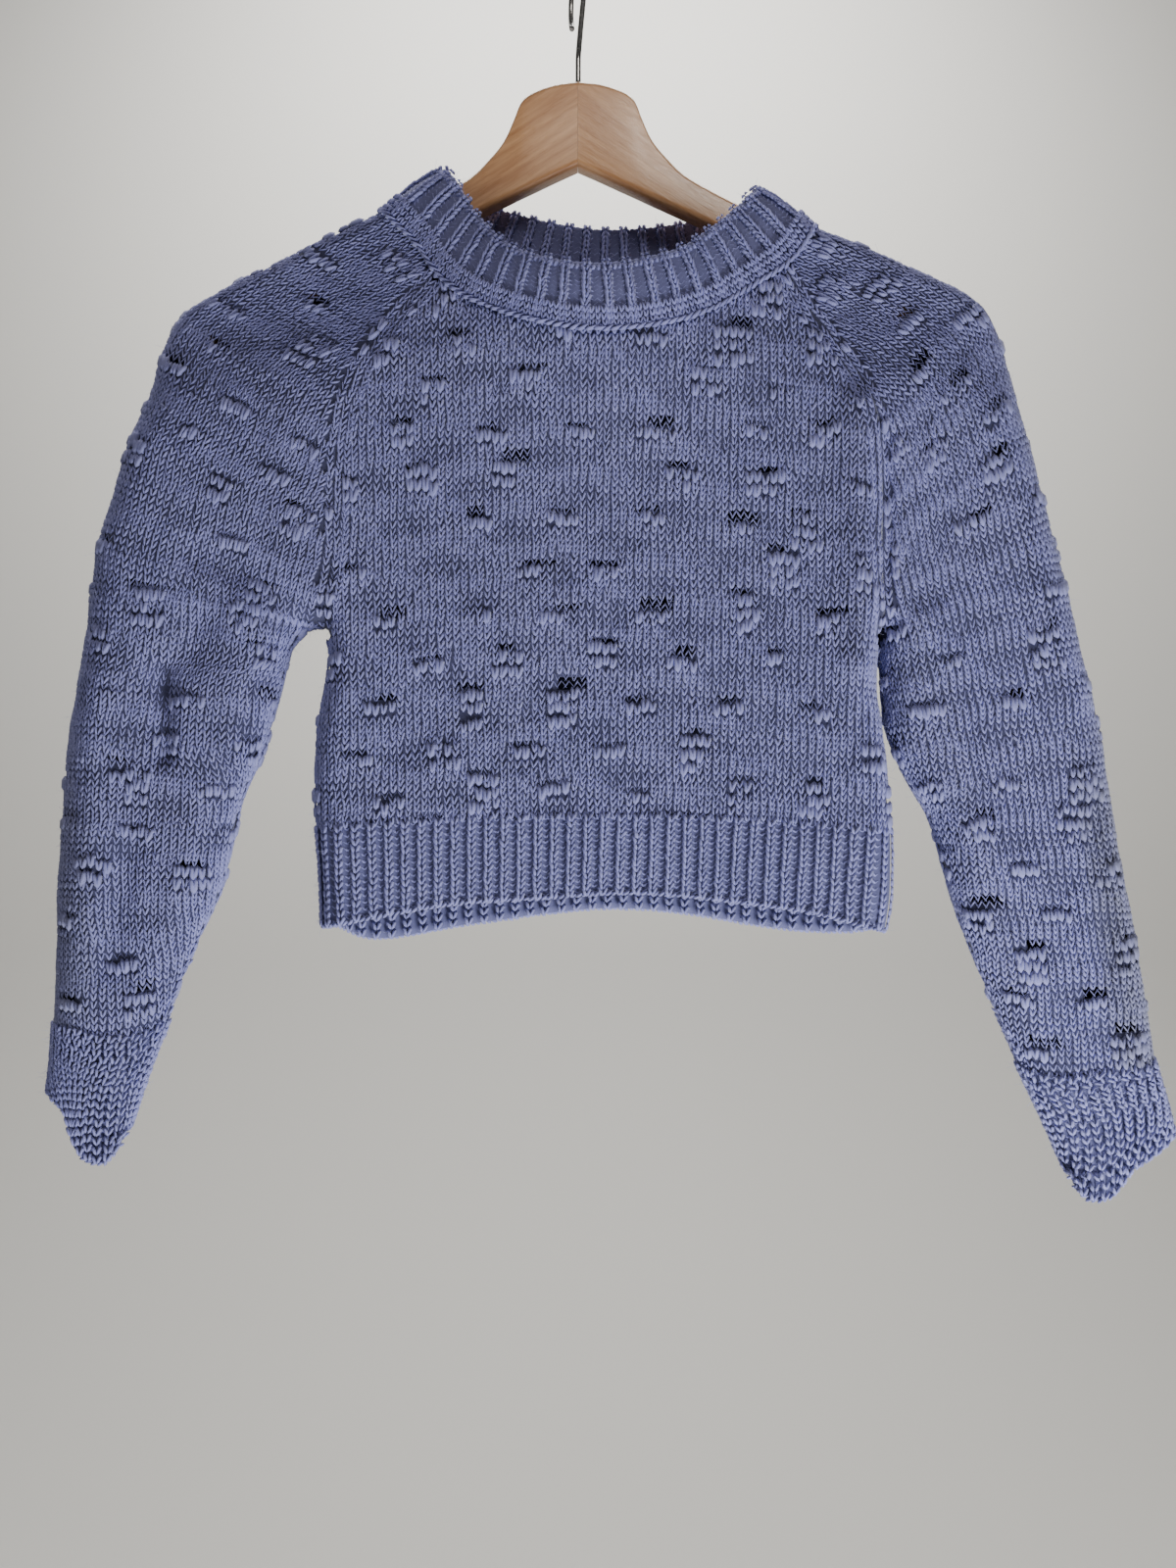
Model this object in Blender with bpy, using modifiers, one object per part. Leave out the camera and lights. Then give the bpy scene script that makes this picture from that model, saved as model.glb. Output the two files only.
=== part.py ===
"""A cropped raglan sweater in slub wool, hanging on a wooden hanger with a wire hook.

Metres, +Z up, -Y is the sweater's front. The origin is the inside of the hook's crown, where a rail
or a peg carries the hanger. The tables are in millimetres: x is across, and drop is the distance
below the top of the hanger's wood.

The cloth hangs nearly flat, so each panel is drawn on two sheets, one in front of the hanger and one
behind it. fold_profile brings the two sheets together at the shoulders, the sleeve edges and the
body's sides, and every panel reads its depth from the same function, so that neighbours line up at
their seams.
"""

import math

import bmesh
import bpy
from mathutils import Vector

MM = 0.001
OBJECT_NAME = "cropped_knit_sweater"

# Driving dimensions, in millimetres
HOOK_RISE = 74.0  # from the top of the wood to the inside of the hook's crown
PANEL_WALL = 2.6
RIB_WALL = 3.2
COLLAR_WALL = 4.4  # the collar is doubled over
SEAM_GAP = 0.5
SIDE_GAP = 0.7
UNDERARM_GAP = 5.0  # the seams of four panels meet here
UNDERARM_REACH = 40.0
BODY_HALF_DEPTH = 22.0
SHOULDER_HALF_DEPTH = 10.5  # over the hanger's arm
SHOULDER_RADIUS = 11.0
SHOULDER_SPREAD = 110.0  # below the arm, over which the body reaches its full depth
SLEEVE_RADIUS = 24.0  # the round of a sleeve's outer edge
SIDE_RADIUS = 18.0  # the round of the body's sides and of a sleeve's inner edge
SLEEVE_STARTS, SLEEVE_ROUND = 130.0, 200.0  # drops between which the shoulder's ridge opens out
NECK_PUSH = 9.0  # the collar leans the front out by this much
NECK_PUSH_AT = (11.0, 135.0)
NECK_PUSH_REACH = (75.0, 70.0)
MIDDLE_Y, MIDDLE_SWEEP, SWEEP_AT = -1.5, -4.0, 215.0  # the middle sheet follows the hanger forward
FRONT, BACK = -1.0, 1.0

# The neckline on the front sheet and on the back one, from wearer's right to wearer's left: x, drop
FRONT_NECK = (
    (-103, 71), (-96, 79), (-84, 91), (-69, 112), (-49, 127), (-20, 138), (12, 142.5),
    (44, 139), (69, 129.5), (89, 116), (109, 102), (119, 90), (125, 78.5),
)
BACK_NECK = (
    (-103, 71), (-88, 80), (-60, 93), (-25, 101), (12, 103), (50, 101.5), (84, 96), (110, 87), (125, 78.5),
)

# The collar's free edge, all round: x, y, drop
COLLAR_TOP_FRONT = (
    (-71, -4, 46.5), (-66, -12, 54), (-60, -14.5, 64), (-49, -19, 81), (-29, -27, 99.5), (10, -32, 108.5),
    (49, -28, 100), (69, -21, 85.5), (85, -14, 70), (91, -12, 63), (97, -4, 55.5),
)
COLLAR_TOP_BACK = (
    (-71, -4, 46.5), (-66, 10, 50), (-48, 14, 57), (12, 20, 66), (72, 15, 63), (92, 9, 60), (97, -4, 55.5),
)

# Raglan seams from the collar down to the underarm: x, drop
RAGLANS = {
    ("right", FRONT): (
        (-73, 108), (-90, 127), (-105, 146), (-118, 170), (-125, 196), (-127, 228), (-128, 262), (-134, 298),
    ),
    ("right", BACK): ((-74, 87), (-100, 116), (-118, 150), (-126, 190), (-128, 230), (-129, 264), (-134, 298)),
    ("left", FRONT): (
        (109, 102), (121, 125), (136, 146), (150, 168), (158, 192), (161, 226), (161, 262), (164, 300),
    ),
    ("left", BACK): ((108, 88), (128, 118), (147, 152), (157, 190), (160, 230), (160, 264), (164, 300)),
}

# The body's side folds from the underarm down to the hem: x, drop
SIDES = {
    "right": (
        (-134, 298), (-133, 311), (-135, 328), (-139, 352), (-140, 378), (-139, 407), (-137, 430), (-136, 459),
    ),
    "left": ((164, 300), (162, 312), (162, 330), (165, 350), (168, 376), (170, 407), (170, 440), (167, 460)),
}

# Where the rib starts, and the hem's edge, from wearer's right to wearer's left: x, drop
RIB_TOP = ((-139, 406), (-60, 400.5), (14, 398.5), (90, 400), (170, 406))
FRONT_HEM = ((-136, 458), (-104, 451), (-62, 444), (-19, 441), (36, 438), (98, 444), (130, 449), (167, 459))
BACK_HEM = ((-136, 458), (-112, 468), (-60, 460), (10, 451), (60, 453), (112, 461), (150, 463), (167, 459))

# Sleeves. outer and inner are the two edges of the flat sleeve: x, drop. The first rows' inner edges
# are the raglans. half_depth is half the sleeve's thickness through, and dip is how far the front
# face hangs below a straight line between its edges.
SLEEVE_ROWS = {
    "right": (
        # outer_x, outer_drop, inner_x, inner_drop, half_depth, dip
        (-103, 71, None, None, 22, 0),
        (-132, 84.5, None, None, 22, 0),
        (-164, 101.5, None, None, 22, 0),
        (-197, 119, None, None, 22, 0),
        (-213, 131, None, None, 22, 0),
        (-222, 148, None, None, 22, 0),
        (-230, 176, None, None, 22, 0),
        (-240, 199, None, None, 22, 0),
        (-248, 226, None, None, 22, 0),
        (-254, 245, None, None, 22, 0),
        (-257, 257, None, None, 22, 0),
        (-258, 266, -134, 298, 22, 0),
        (-260, 280, -145, 297, 22, 0),
        (-262, 298, -155, 308, 22, 0),
        (-267, 330, -162, 337, 21, 0),
        (-272, 358, -171, 366, 20, 0),
        (-274, 386, -181, 391, 19, 0),
        (-276, 414, -187, 418, 19, 0),
        (-278, 444, -193, 442, 18, 1),
        (-278, 470, -203, 463, 17, 2),
        (-279, 496, -214, 489, 15, 4),
        (-280, 512, -221, 508, 14, 7),
    ),
    "left": (
        (125, 78.5, None, None, 22, 0),
        (150, 88.5, None, None, 22, 0),
        (178, 101, None, None, 22, 0),
        (204, 113.5, None, None, 22, 0),
        (219, 125, None, None, 22, 0),
        (227, 141, None, None, 22, 0),
        (235, 170, None, None, 22, 0),
        (243, 199, None, None, 22, 0),
        (251, 230, None, None, 22, 0),
        (257, 252, None, None, 22, 0),
        (260, 264, None, None, 22, 0),
        (263, 274, 164, 300, 22, 0),
        (269, 300, 166, 322, 21, 0),
        (277, 332, 169, 350, 20, 0),
        (283, 360, 178, 374, 20, 0),
        (288, 391, 192, 398, 19, 0),
        (293, 420, 200, 424, 19, 0),
        (299, 449, 207, 449, 18, 1),
        (304, 478, 218, 477, 17, 2),
        (309, 507, 230, 505, 15, 4),
        (313, 530, 241, 529, 14, 7),
    ),
}
CUFF_ROWS = {
    "right": ((-280, 512, -221, 508, 14, 7), (-281, 530, -232, 534, 13, 14), (-283, 547, -241, 555, 12, 31)),
    "left": ((313, 530, 241, 529, 14, 7), (318, 548, 253, 552, 13, 12), (323, 567, 266, 574, 12, 29)),
}

# How far down a raglan each of the first rows meets it
RAGLAN_SHARES = (0, 0.11, 0.22, 0.33, 0.44, 0.55, 0.66, 0.77, 0.87, 0.935, 0.975, 1)

# The front of each cuff hangs in a lobe: share from its inner edge to its outer one, share of the dip
LOBES = {
    "right": (
        (0, 0.4), (0.08, 0.78), (0.2, 0.98), (0.35, 1), (0.48, 0.94), (0.56, 0.75), (0.66, 0.3),
        (0.75, 0.17), (1, 0),
    ),
    "left": (
        (0, 0.4), (0.06, 0.8), (0.14, 0.96), (0.25, 1), (0.36, 0.94), (0.44, 0.76), (0.54, 0.5),
        (0.75, 0.28), (1, 0),
    ),
}
LOBE_BACK = 0.3  # the share over which the back leaves the front's edge

# Soft folds that stand out of a face: face, x and drop of both ends, width, height
FOLDS = (
    (FRONT, 150, 186, 152, 318, 13, 6), (FRONT, -250, 330, -257, 500, 16, 3), (BACK, 0, 130, 10, 250, 30, 3),
)

# Points across a panel, as shares of its width. They crowd where the cloth turns over an edge.
BODY_COLUMNS = (
    0, 0.0013, 0.006, 0.018, 0.038, 0.062, 0.13, 0.22, 0.32, 0.42, 0.52, 0.62, 0.72, 0.81, 0.88, 0.938, 0.962,
    0.982, 0.994, 0.9987, 1,
)
HALF_SLEEVE_COLUMNS = (0, 0.014, 0.053, 0.113, 0.18, 0.33, 0.5, 0.66, 0.8, 0.89, 0.96, 0.99, 1)
SIDE_ROWS, RIB_ROWS, CUFF_BANDS, COLLAR_ROWS = 6, 3, 3, 3
RING_POINTS = 26  # of each half of the collar
COLLAR_STAND_OFF = 2.0  # the thick collar keeps this much from the panels' edges
COLLAR_BULGE = 1.6

# The hanger's half, from the joint outwards: x, top and bottom of the wood
ARM_STATIONS = (
    (0.25, 0, 45.8), (12, 1.4, 51.2), (23, 5.0, 56.4), (29, 8.8, 59.2), (32, 13.5, 60.6), (34.5, 20, 61.8),
    (40, 32, 64.5), (48, 42, 68.2), (57.5, 51.2, 72.7), (72, 60, 79.5), (86, 67.5, 86), (129, 90, 106.4),
    (162, 106, 122), (198, 125, 140.5), (209, 132.5, 145), (214, 138, 144),
)
ARM_THICKNESS, ARM_TIP_THICKNESS, ARM_EDGE = 12.0, 9.6, 3.2
ARM_SECTION_TURNS = (15, 45, 75)
ARM_LEAST_FLAT = 0.5  # half the least height of the arm's flat face
WELD_DISTANCE = 0.05
ARM_SWEEP = -5.5  # the arm's end lies this far forward of its middle
HANGER_TILT = math.radians(0.9)  # wearer's right side hangs lower

# The hook's wire, in its own plane
WIRE_RADIUS = 1.45
HOOK_INNER_RADIUS = 20.0
HOOK_TURN = math.radians(-78)  # about Z, from +X
STEM_FOOT, STEM_STRAIGHT, STEM_LEAN_ENDS, STEM_LEAN = 0.3, 15.5, 47.0, 19.2
LEAN_POWER = 1.15  # above 1 it starts the lean gently
HOOK_ENDS = math.radians(212)
LEAN_STEPS, HOOK_STEPS = 5, 20


def clear_scene():
    for obj in list(bpy.data.objects):
        bpy.data.objects.remove(obj, do_unlink=True)


def smooth_step(value):
    value = min(max(value, 0.0), 1.0)
    return value * value * (3 - 2 * value)


def spline(rows, samples=14):
    """A Catmull-Rom curve through the rows, as a dense list of points."""
    points = [Vector(row) for row in rows]
    points = [2 * points[0] - points[1], *points, 2 * points[-1] - points[-2]]
    curve = []
    for before, start, end, after in zip(points, points[1:], points[2:], points[3:]):
        for step in range(samples):
            t = step / samples
            curve.append(
                0.5 * (2 * start + (end - before) * t + (2 * before - 5 * start + 4 * end - after) * t**2
                       + (3 * start - before - 3 * end + after) * t**3)
            )
    return [*curve, points[-2]]


def at_shares(curve, shares):
    """The curve's points at these shares of its length."""
    reach = [0.0]
    for a, b in zip(curve, curve[1:]):
        reach.append(reach[-1] + (b - a).length)
    found, i = [], 0
    for share in shares:
        want = share * reach[-1]
        while i < len(curve) - 2 and reach[i + 1] < want:
            i += 1
        found.append(curve[i].lerp(curve[i + 1], min(1.0, (want - reach[i]) / (reach[i + 1] - reach[i]))))
    return found


def evenly(count):
    return [i / count for i in range(count + 1)]


NEAR_STEPS = 400


def share_near(curve, point):
    """The share of the curve's length at which it passes nearest to the point."""
    shares = evenly(NEAR_STEPS)
    points = at_shares(curve, shares)
    nearest = min(range(len(shares)), key=lambda i: (points[i] - Vector(point)).length)
    return shares[nearest]


def distance(point, curve):
    """From a point to a curve, both flat."""
    best = math.inf
    for a, b in zip(curve, curve[1:]):
        along = b - a
        t = min(max((point - a).dot(along) / along.length_squared, 0.0), 1.0)
        best = min(best, (point - a - along * t).length)
    return best


EDGE_SAMPLES = 3
OUTER_EDGES = {
    side: spline([row[:2] for row in SLEEVE_ROWS[side] + CUFF_ROWS[side][1:]], EDGE_SAMPLES)
    for side in SLEEVE_ROWS
}
INNER_EDGES = {
    side: spline(
        [
            (row[2], row[3] + row[5] * LOBES[side][0][1])
            for row in SLEEVE_ROWS[side] + CUFF_ROWS[side][1:]
            if row[2] is not None
        ],
        EDGE_SAMPLES,
    )
    for side in SLEEVE_ROWS
}
SIDE_EDGES = {side: spline(rows, EDGE_SAMPLES) for side, rows in SIDES.items()}


def round_over(share):
    """A quarter of a circle: 0 at the edge, 1 from a share of 1 inwards."""
    return math.sqrt(1 - (1 - min(max(share, 0.0), 1.0)) ** 2)


def fold_profile(point, outer, inner, half_depth):
    """Half the distance between the front sheet and the back one."""
    from_outer = min(distance(point, edge) for edge in outer)
    from_inner = min(distance(point, edge) for edge in inner)
    over_arm = SHOULDER_HALF_DEPTH * round_over(from_outer / SHOULDER_RADIUS)
    over_arm += (half_depth - SHOULDER_HALF_DEPTH) * smooth_step(from_outer / SHOULDER_SPREAD)
    on_sleeve = half_depth * round_over(from_outer / SLEEVE_RADIUS)
    below = smooth_step((point.y - SLEEVE_STARTS) / (SLEEVE_ROUND - SLEEVE_STARTS))
    return (over_arm + (on_sleeve - over_arm) * below) * round_over(from_inner / SIDE_RADIUS)


def folds_at(point, face):
    height = 0.0
    for side, x0, drop0, x1, drop1, width, rise in FOLDS:
        if side == face:
            away = distance(point, [Vector((x0, drop0)), Vector((x1, drop1))])
            height += rise * math.exp(-((away / width) ** 2))
    return height


def on_cloth(point, face, outer, inner, half_depth=BODY_HALF_DEPTH, least=0.0, at_edge=False):
    """The point (x, drop) laid on the front sheet or the back one, in millimetres from the wood's top."""
    half = 0.0 if at_edge else max(fold_profile(point, outer, inner, half_depth), least)
    flatness = half / half_depth
    y = MIDDLE_Y + MIDDLE_SWEEP * min(abs(point.x) / SWEEP_AT, 1.0) ** 2
    y += face * (half + flatness * folds_at(point, face))
    if face == FRONT:
        across = (point.x - NECK_PUSH_AT[0]) / NECK_PUSH_REACH[0]
        down = (point.y - NECK_PUSH_AT[1]) / NECK_PUSH_REACH[1]
        y -= flatness * NECK_PUSH * math.exp(-(across**2) - down**2)
    return Vector((point.x, y, -point.y))


def body_cloth(point, face):
    return on_cloth(point, face, OUTER_EDGES.values(), SIDE_EDGES.values(), least=SIDE_GAP / 2)


def coons(bottom, top, left, right):
    """A four-sided patch between lists of points. left and right run from bottom to top."""
    rows = []
    for j, (start, end) in enumerate(zip(left, right)):
        v = j / (len(left) - 1)
        row = []
        for i, u in enumerate(BODY_COLUMNS):
            ruled = bottom[i].lerp(top[i], v) + start.lerp(end, u)
            corners = bottom[0].lerp(bottom[-1], u).lerp(top[0].lerp(top[-1], u), v)
            row.append(ruled - corners)
        rows.append(row)
    return rows


def seam_gap(point, underarm):
    """Half the gap at a raglan, wider where the seams meet under the arm."""
    near = 1 - smooth_step((point - underarm).length / UNDERARM_REACH)
    return (SEAM_GAP + (UNDERARM_GAP - SEAM_GAP) * near) / 2


def body_side(side, face):
    """A body panel's edge from the rib's top to the collar: up the side and then the raglan."""
    inwards = 1 if side == "right" else -1
    fold = SIDE_EDGES[side]
    rib_starts = share_near(fold, RIB_TOP[0] if side == "right" else RIB_TOP[-1])
    side_points = at_shares(fold, [rib_starts * (1 - i / SIDE_ROWS) for i in range(SIDE_ROWS + 1)])
    raglan = at_shares(spline(RAGLANS[side, face]), RAGLAN_SHARES)[::-1]
    underarm = raglan[0]
    raglan = [point + Vector((inwards * seam_gap(point, underarm), 0)) for point in raglan]
    return [*side_points[:-1], raglan[0] + Vector((0, UNDERARM_GAP / 2)), *raglan[1:]]


def neck_part(face, start, end, shares):
    """The neckline between two of its points."""
    curve = spline(FRONT_NECK if face == FRONT else BACK_NECK)
    low, high = share_near(curve, start), share_near(curve, end)
    return at_shares(curve, [low + (high - low) * share for share in shares])


def between(left, right, points):
    """The points at the body's columns, moved so that the ends meet the two given points."""
    shift_left, shift_right = left - points[0], right - points[-1]
    return [p + shift_left.lerp(shift_right, u) for p, u in zip(points, BODY_COLUMNS)]


def body_panel(face):
    left, right = body_side("right", face), body_side("left", face)
    bottom = between(left[0], right[0], at_shares(spline(RIB_TOP), BODY_COLUMNS))
    bottom = [p - Vector((0, SEAM_GAP / 2)) for p in bottom]
    left[0], right[0] = bottom[0], bottom[-1]
    top = neck_part(face, RAGLANS["right", face][0], RAGLANS["left", face][0], BODY_COLUMNS)
    top = between(left[-1], right[-1], top)
    return [[body_cloth(p, face) for p in row] for row in coons(bottom, top, left, right)]


def hem_rib(face):
    """The ribbed band from the panel's lower edge to the hem."""
    hem = FRONT_HEM if face == FRONT else BACK_HEM
    top = [p + Vector((0, SEAM_GAP / 2)) for p in at_shares(spline(RIB_TOP), BODY_COLUMNS)]
    bottom = at_shares(spline(hem), BODY_COLUMNS)
    sides = [SIDE_EDGES["right"], SIDE_EDGES["left"]]
    rows = []
    for share in evenly(RIB_ROWS):
        row = [a.lerp(b, share) for a, b in zip(bottom, top)]
        for i, edge in ((0, sides[0]), (-1, sides[1])):
            row[i] = Vector((at_drop(edge, row[i].y), row[i].y))
        rows.append([body_cloth(p, face) for p in row])
    return rows


def at_drop(curve, drop):
    """The curve's x at this drop."""
    for a, b in zip(curve, curve[1:]):
        if min(a.y, b.y) <= drop <= max(a.y, b.y) and a.y != b.y:
            return a.lerp(b, (drop - a.y) / (b.y - a.y)).x
    return curve[-1].x


def lobe(side, face, share):
    """How much of the dip a sleeve's end has at this share from its inner edge to its outer one."""
    rows = LOBES[side] if face == FRONT else ((0, LOBES[side][0][1]), (LOBE_BACK, 0), (1, 0))
    for (start, low), (end, high) in zip(rows, rows[1:]):
        if share <= end:
            return low + (high - low) * (share - start) / (end - start)
    return 0.0


def sleeve_half_row(side, face, row, inner, neck_row):
    """One row over one face of a sleeve, from its inner edge to its outer one."""
    outer = Vector(row[:2])
    points = []
    for i, share in enumerate(HALF_SLEEVE_COLUMNS):
        flat = inner.lerp(outer, share)
        if neck_row:
            flat = neck_row[i]
        flat = flat + Vector((0, row[5] * lobe(side, face, share)))
        at_edge = share == 1 or (share == 0 and row[2] is not None)
        points.append(on_cloth(flat, face, [OUTER_EDGES[side]], [INNER_EDGES[side]], row[4], at_edge=at_edge))
    return points


def sleeve(side):
    """A sleeve's rows from the collar to the cuff, each from the front's inner edge round to the back's."""
    rows = SLEEVE_ROWS[side]
    outwards = -1 if side == "right" else 1
    grid = []
    for number, row in enumerate(rows):
        halves = []
        for face in (FRONT, BACK):
            neck_row = None
            raglan = spline(RAGLANS[side, face])
            if row[2] is None:
                inner = at_shares(raglan, [RAGLAN_SHARES[number]])[0]
                inner = inner + Vector((outwards * seam_gap(inner, raglan[-1]), 0))
            else:
                inner = Vector(row[2:4])
            if number == len(RAGLAN_SHARES) - 1:
                inner = inner + Vector((outwards * UNDERARM_GAP / 2, -UNDERARM_GAP / 2))
            if number == 0:
                neck_row = neck_part(face, RAGLANS[side, face][0], rows[0][:2], HALF_SLEEVE_COLUMNS)
                neck_row[0] = inner
            halves.append(sleeve_half_row(side, face, row, inner, neck_row))
        grid.append(halves[0] + halves[1][-2::-1])
    grid[-1] = [p + Vector((0, 0, SEAM_GAP / 2)) for p in grid[-1]]
    return grid


def cuff(side):
    rows = CUFF_ROWS[side]
    grid = []
    for share in evenly((len(rows) - 1) * CUFF_BANDS // 2):
        place = share * (len(rows) - 1)
        i = min(int(place), len(rows) - 2)
        row = [a + (b - a) * (place - i) for a, b in zip(rows[i], rows[i + 1])]
        halves = [sleeve_half_row(side, face, row, Vector(row[2:4]), None) for face in (FRONT, BACK)]
        grid.append(halves[0] + halves[1][-2::-1])
    grid[0] = [p - Vector((0, 0, SEAM_GAP / 2)) for p in grid[0]]
    return grid


def collar():
    """The collar's rows from its seam to its free edge, each all the way round."""
    shares = evenly(RING_POINTS)
    seam = [body_cloth(p, FRONT) for p in at_shares(spline(FRONT_NECK), shares)]
    seam += [body_cloth(p, BACK) for p in at_shares(spline(BACK_NECK), shares)][-2:0:-1]
    edge = at_shares(spline(COLLAR_TOP_FRONT), shares)
    edge += at_shares(spline(COLLAR_TOP_BACK), shares)[-2:0:-1]
    edge = [Vector((p.x, p.y, -p.z)) for p in edge]
    centre = sum(seam, Vector()) / len(seam)
    seam = [a.lerp(b, COLLAR_STAND_OFF / (b - a).length) for a, b in zip(seam, edge)]
    grid = []
    for share in evenly(COLLAR_ROWS):
        bulge = COLLAR_BULGE * math.sin(math.pi * share)
        row = []
        for a, b in zip(seam, edge):
            point = a.lerp(b, share)
            out = Vector((point.x - centre.x, point.y - centre.y, 0)).normalized()
            row.append(point + out * bulge)
        grid.append(row)
    return grid


def grid_object(name, grid, wall, material, ring=False):
    """A sheet through the grid's points, with a wall made by Solidify."""
    mesh = bmesh.new()
    rows = [[mesh.verts.new((p - Vector((0, 0, HOOK_RISE))) * MM) for p in row] for row in grid]
    for near, far in zip(rows, rows[1:]):
        ends = list(zip(near, far))
        if ring:
            ends.append(ends[0])
        for (a, b), (c, d) in zip(ends, ends[1:]):
            mesh.faces.new((a, c, d, b))
    bmesh.ops.remove_doubles(mesh, verts=mesh.verts, dist=WELD_DISTANCE * MM)
    bmesh.ops.recalc_face_normals(mesh, faces=mesh.faces)
    obj = mesh_object(name, mesh, material)
    solid = obj.modifiers.new("wall", "SOLIDIFY")
    solid.thickness = wall * MM
    solid.offset = 0.0
    return obj


def mesh_object(name, mesh, material):
    data = bpy.data.meshes.new(name)
    mesh.to_mesh(data)
    mesh.free()
    data.materials.append(material)
    data.shade_smooth()
    obj = bpy.data.objects.new(name, data)
    bpy.data.collections[OBJECT_NAME].objects.link(obj)
    return obj


def arm_section(top, bottom, thickness, edge):
    """A rounded upright section of the hanger's arm: y and drop."""
    edge = min(edge, (bottom - top) / 2 - ARM_LEAST_FLAT)
    corners = ((1, 1), (-1, 1), (-1, -1), (1, -1))
    points = []
    for k, (sy, sz) in enumerate(corners):
        y = sy * (thickness / 2 - edge)
        drop = (bottom - edge) if sz > 0 else (top + edge)
        for turn in ARM_SECTION_TURNS:
            angle = math.radians(turn + 90 * k)
            points.append((y + edge * math.cos(angle), drop + edge * math.sin(angle)))
    return points


def hanger_half(name, side, material):
    """One arm of the hanger, lofted through its stations. side is 1 for wearer's left."""
    mesh = bmesh.new()
    sections = []
    for x, top, bottom in ARM_STATIONS:
        sweep = ARM_SWEEP * (x / ARM_STATIONS[-1][0]) ** 2
        tilt = side * x * math.sin(HANGER_TILT)
        thickness = ARM_TIP_THICKNESS if x == ARM_STATIONS[-1][0] else ARM_THICKNESS
        ring = arm_section(top, bottom, thickness, ARM_EDGE)
        sections.append(
            [mesh.verts.new(Vector((side * x, sweep + y, tilt - drop - HOOK_RISE)) * MM) for y, drop in ring]
        )
    for near, far in zip(sections, sections[1:]):
        for i in range(len(near)):
            j = (i + 1) % len(near)
            mesh.faces.new((near[i], far[i], far[j], near[j]))
    mesh.faces.new(sections[0])
    mesh.faces.new(sections[-1][::-1])
    bmesh.ops.recalc_face_normals(mesh, faces=mesh.faces)
    obj = mesh_object(name, mesh, material)
    obj.data.set_sharp_from_angle(angle=math.radians(50))
    return obj


def hook_route():
    """The wire's centre line in its own plane: away from the stem, and up from the wood's top."""
    route = [(0, STEM_FOOT), (0, STEM_STRAIGHT / 2), (0, STEM_STRAIGHT - WIRE_RADIUS)]
    for share in evenly(LEAN_STEPS)[1:]:
        up = STEM_STRAIGHT + (STEM_LEAN_ENDS - STEM_STRAIGHT) * share
        route.append((STEM_LEAN * share**LEAN_POWER, up))
    radius = HOOK_INNER_RADIUS + WIRE_RADIUS
    centre = HOOK_RISE - HOOK_INNER_RADIUS
    for share in evenly(HOOK_STEPS):
        angle = HOOK_ENDS * share
        route.append((radius * math.cos(angle), centre + radius * math.sin(angle)))
    return route


def hook(name, material):
    curve = bpy.data.curves.new(name, "CURVE")
    curve.dimensions = "3D"
    curve.bevel_depth = WIRE_RADIUS * MM
    curve.bevel_resolution = 2
    curve.use_fill_caps = True
    curve.materials.append(material)
    route = hook_route()
    line = curve.splines.new("POLY")
    line.points.add(len(route) - 1)
    for point, (away, up) in zip(line.points, route):
        place = Vector((away * math.cos(HOOK_TURN), away * math.sin(HOOK_TURN), up - HOOK_RISE)) * MM
        point.co = (*place, 1)
    obj = bpy.data.objects.new(name, curve)
    bpy.data.collections[OBJECT_NAME].objects.link(obj)


def principled(name, color, roughness, metallic=0.0):
    material = bpy.data.materials.new(name)
    material.use_nodes = True
    shader = material.node_tree.nodes["Principled BSDF"]
    shader.inputs["Base Color"].default_value = (*color, 1)
    shader.inputs["Roughness"].default_value = roughness
    shader.inputs["Metallic"].default_value = metallic
    material.diffuse_color = (*color, 1)
    return material


def build_cloth():
    wool = {"color": (0.25, 0.27, 0.55), "roughness": 0.95}
    for name, face in (("front_panel", FRONT), ("back_panel", BACK)):
        grid_object(name, body_panel(face), PANEL_WALL, principled(name, **wool))
    for name, face in (("front_hem_rib", FRONT), ("back_hem_rib", BACK)):
        grid_object(name, hem_rib(face), RIB_WALL, principled(name, **wool))
    for side in ("right", "left"):
        grid_object(f"{side}_sleeve", sleeve(side), PANEL_WALL, principled(f"{side}_sleeve", **wool))
        grid_object(f"{side}_cuff_rib", cuff(side), RIB_WALL, principled(f"{side}_cuff_rib", **wool))
    grid_object("collar_rib", collar(), COLLAR_WALL, principled("collar_rib", **wool), ring=True)


def build_hanger():
    wood = {"color": (0.55, 0.33, 0.17), "roughness": 0.35}
    hanger_half("hanger_right_half", -1, principled("hanger_right_half", **wood))
    hanger_half("hanger_left_half", 1, principled("hanger_left_half", **wood))
    hook("hanger_hook", principled("hanger_hook", (0.72, 0.71, 0.69), 0.22, 1.0))


def main():
    clear_scene()
    bpy.context.scene.collection.children.link(bpy.data.collections.new(OBJECT_NAME))
    build_cloth()
    build_hanger()


main()
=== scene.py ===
"""A cropped raglan sweater in slub wool on a wooden hanger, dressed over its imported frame.

The frame is in metres, +Z up, with the sweater's front towards -Y and its origin inside the hook's
crown. The cloth's tables are in millimetres: x is across, and drop is the distance below the top of
the hanger's wood. Every knitted piece is a thin wall with one pair of yarn legs for each stitch.
"""

import logging
import math
from dataclasses import dataclass, field, fields
from enum import Enum
from typing import Self

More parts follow.
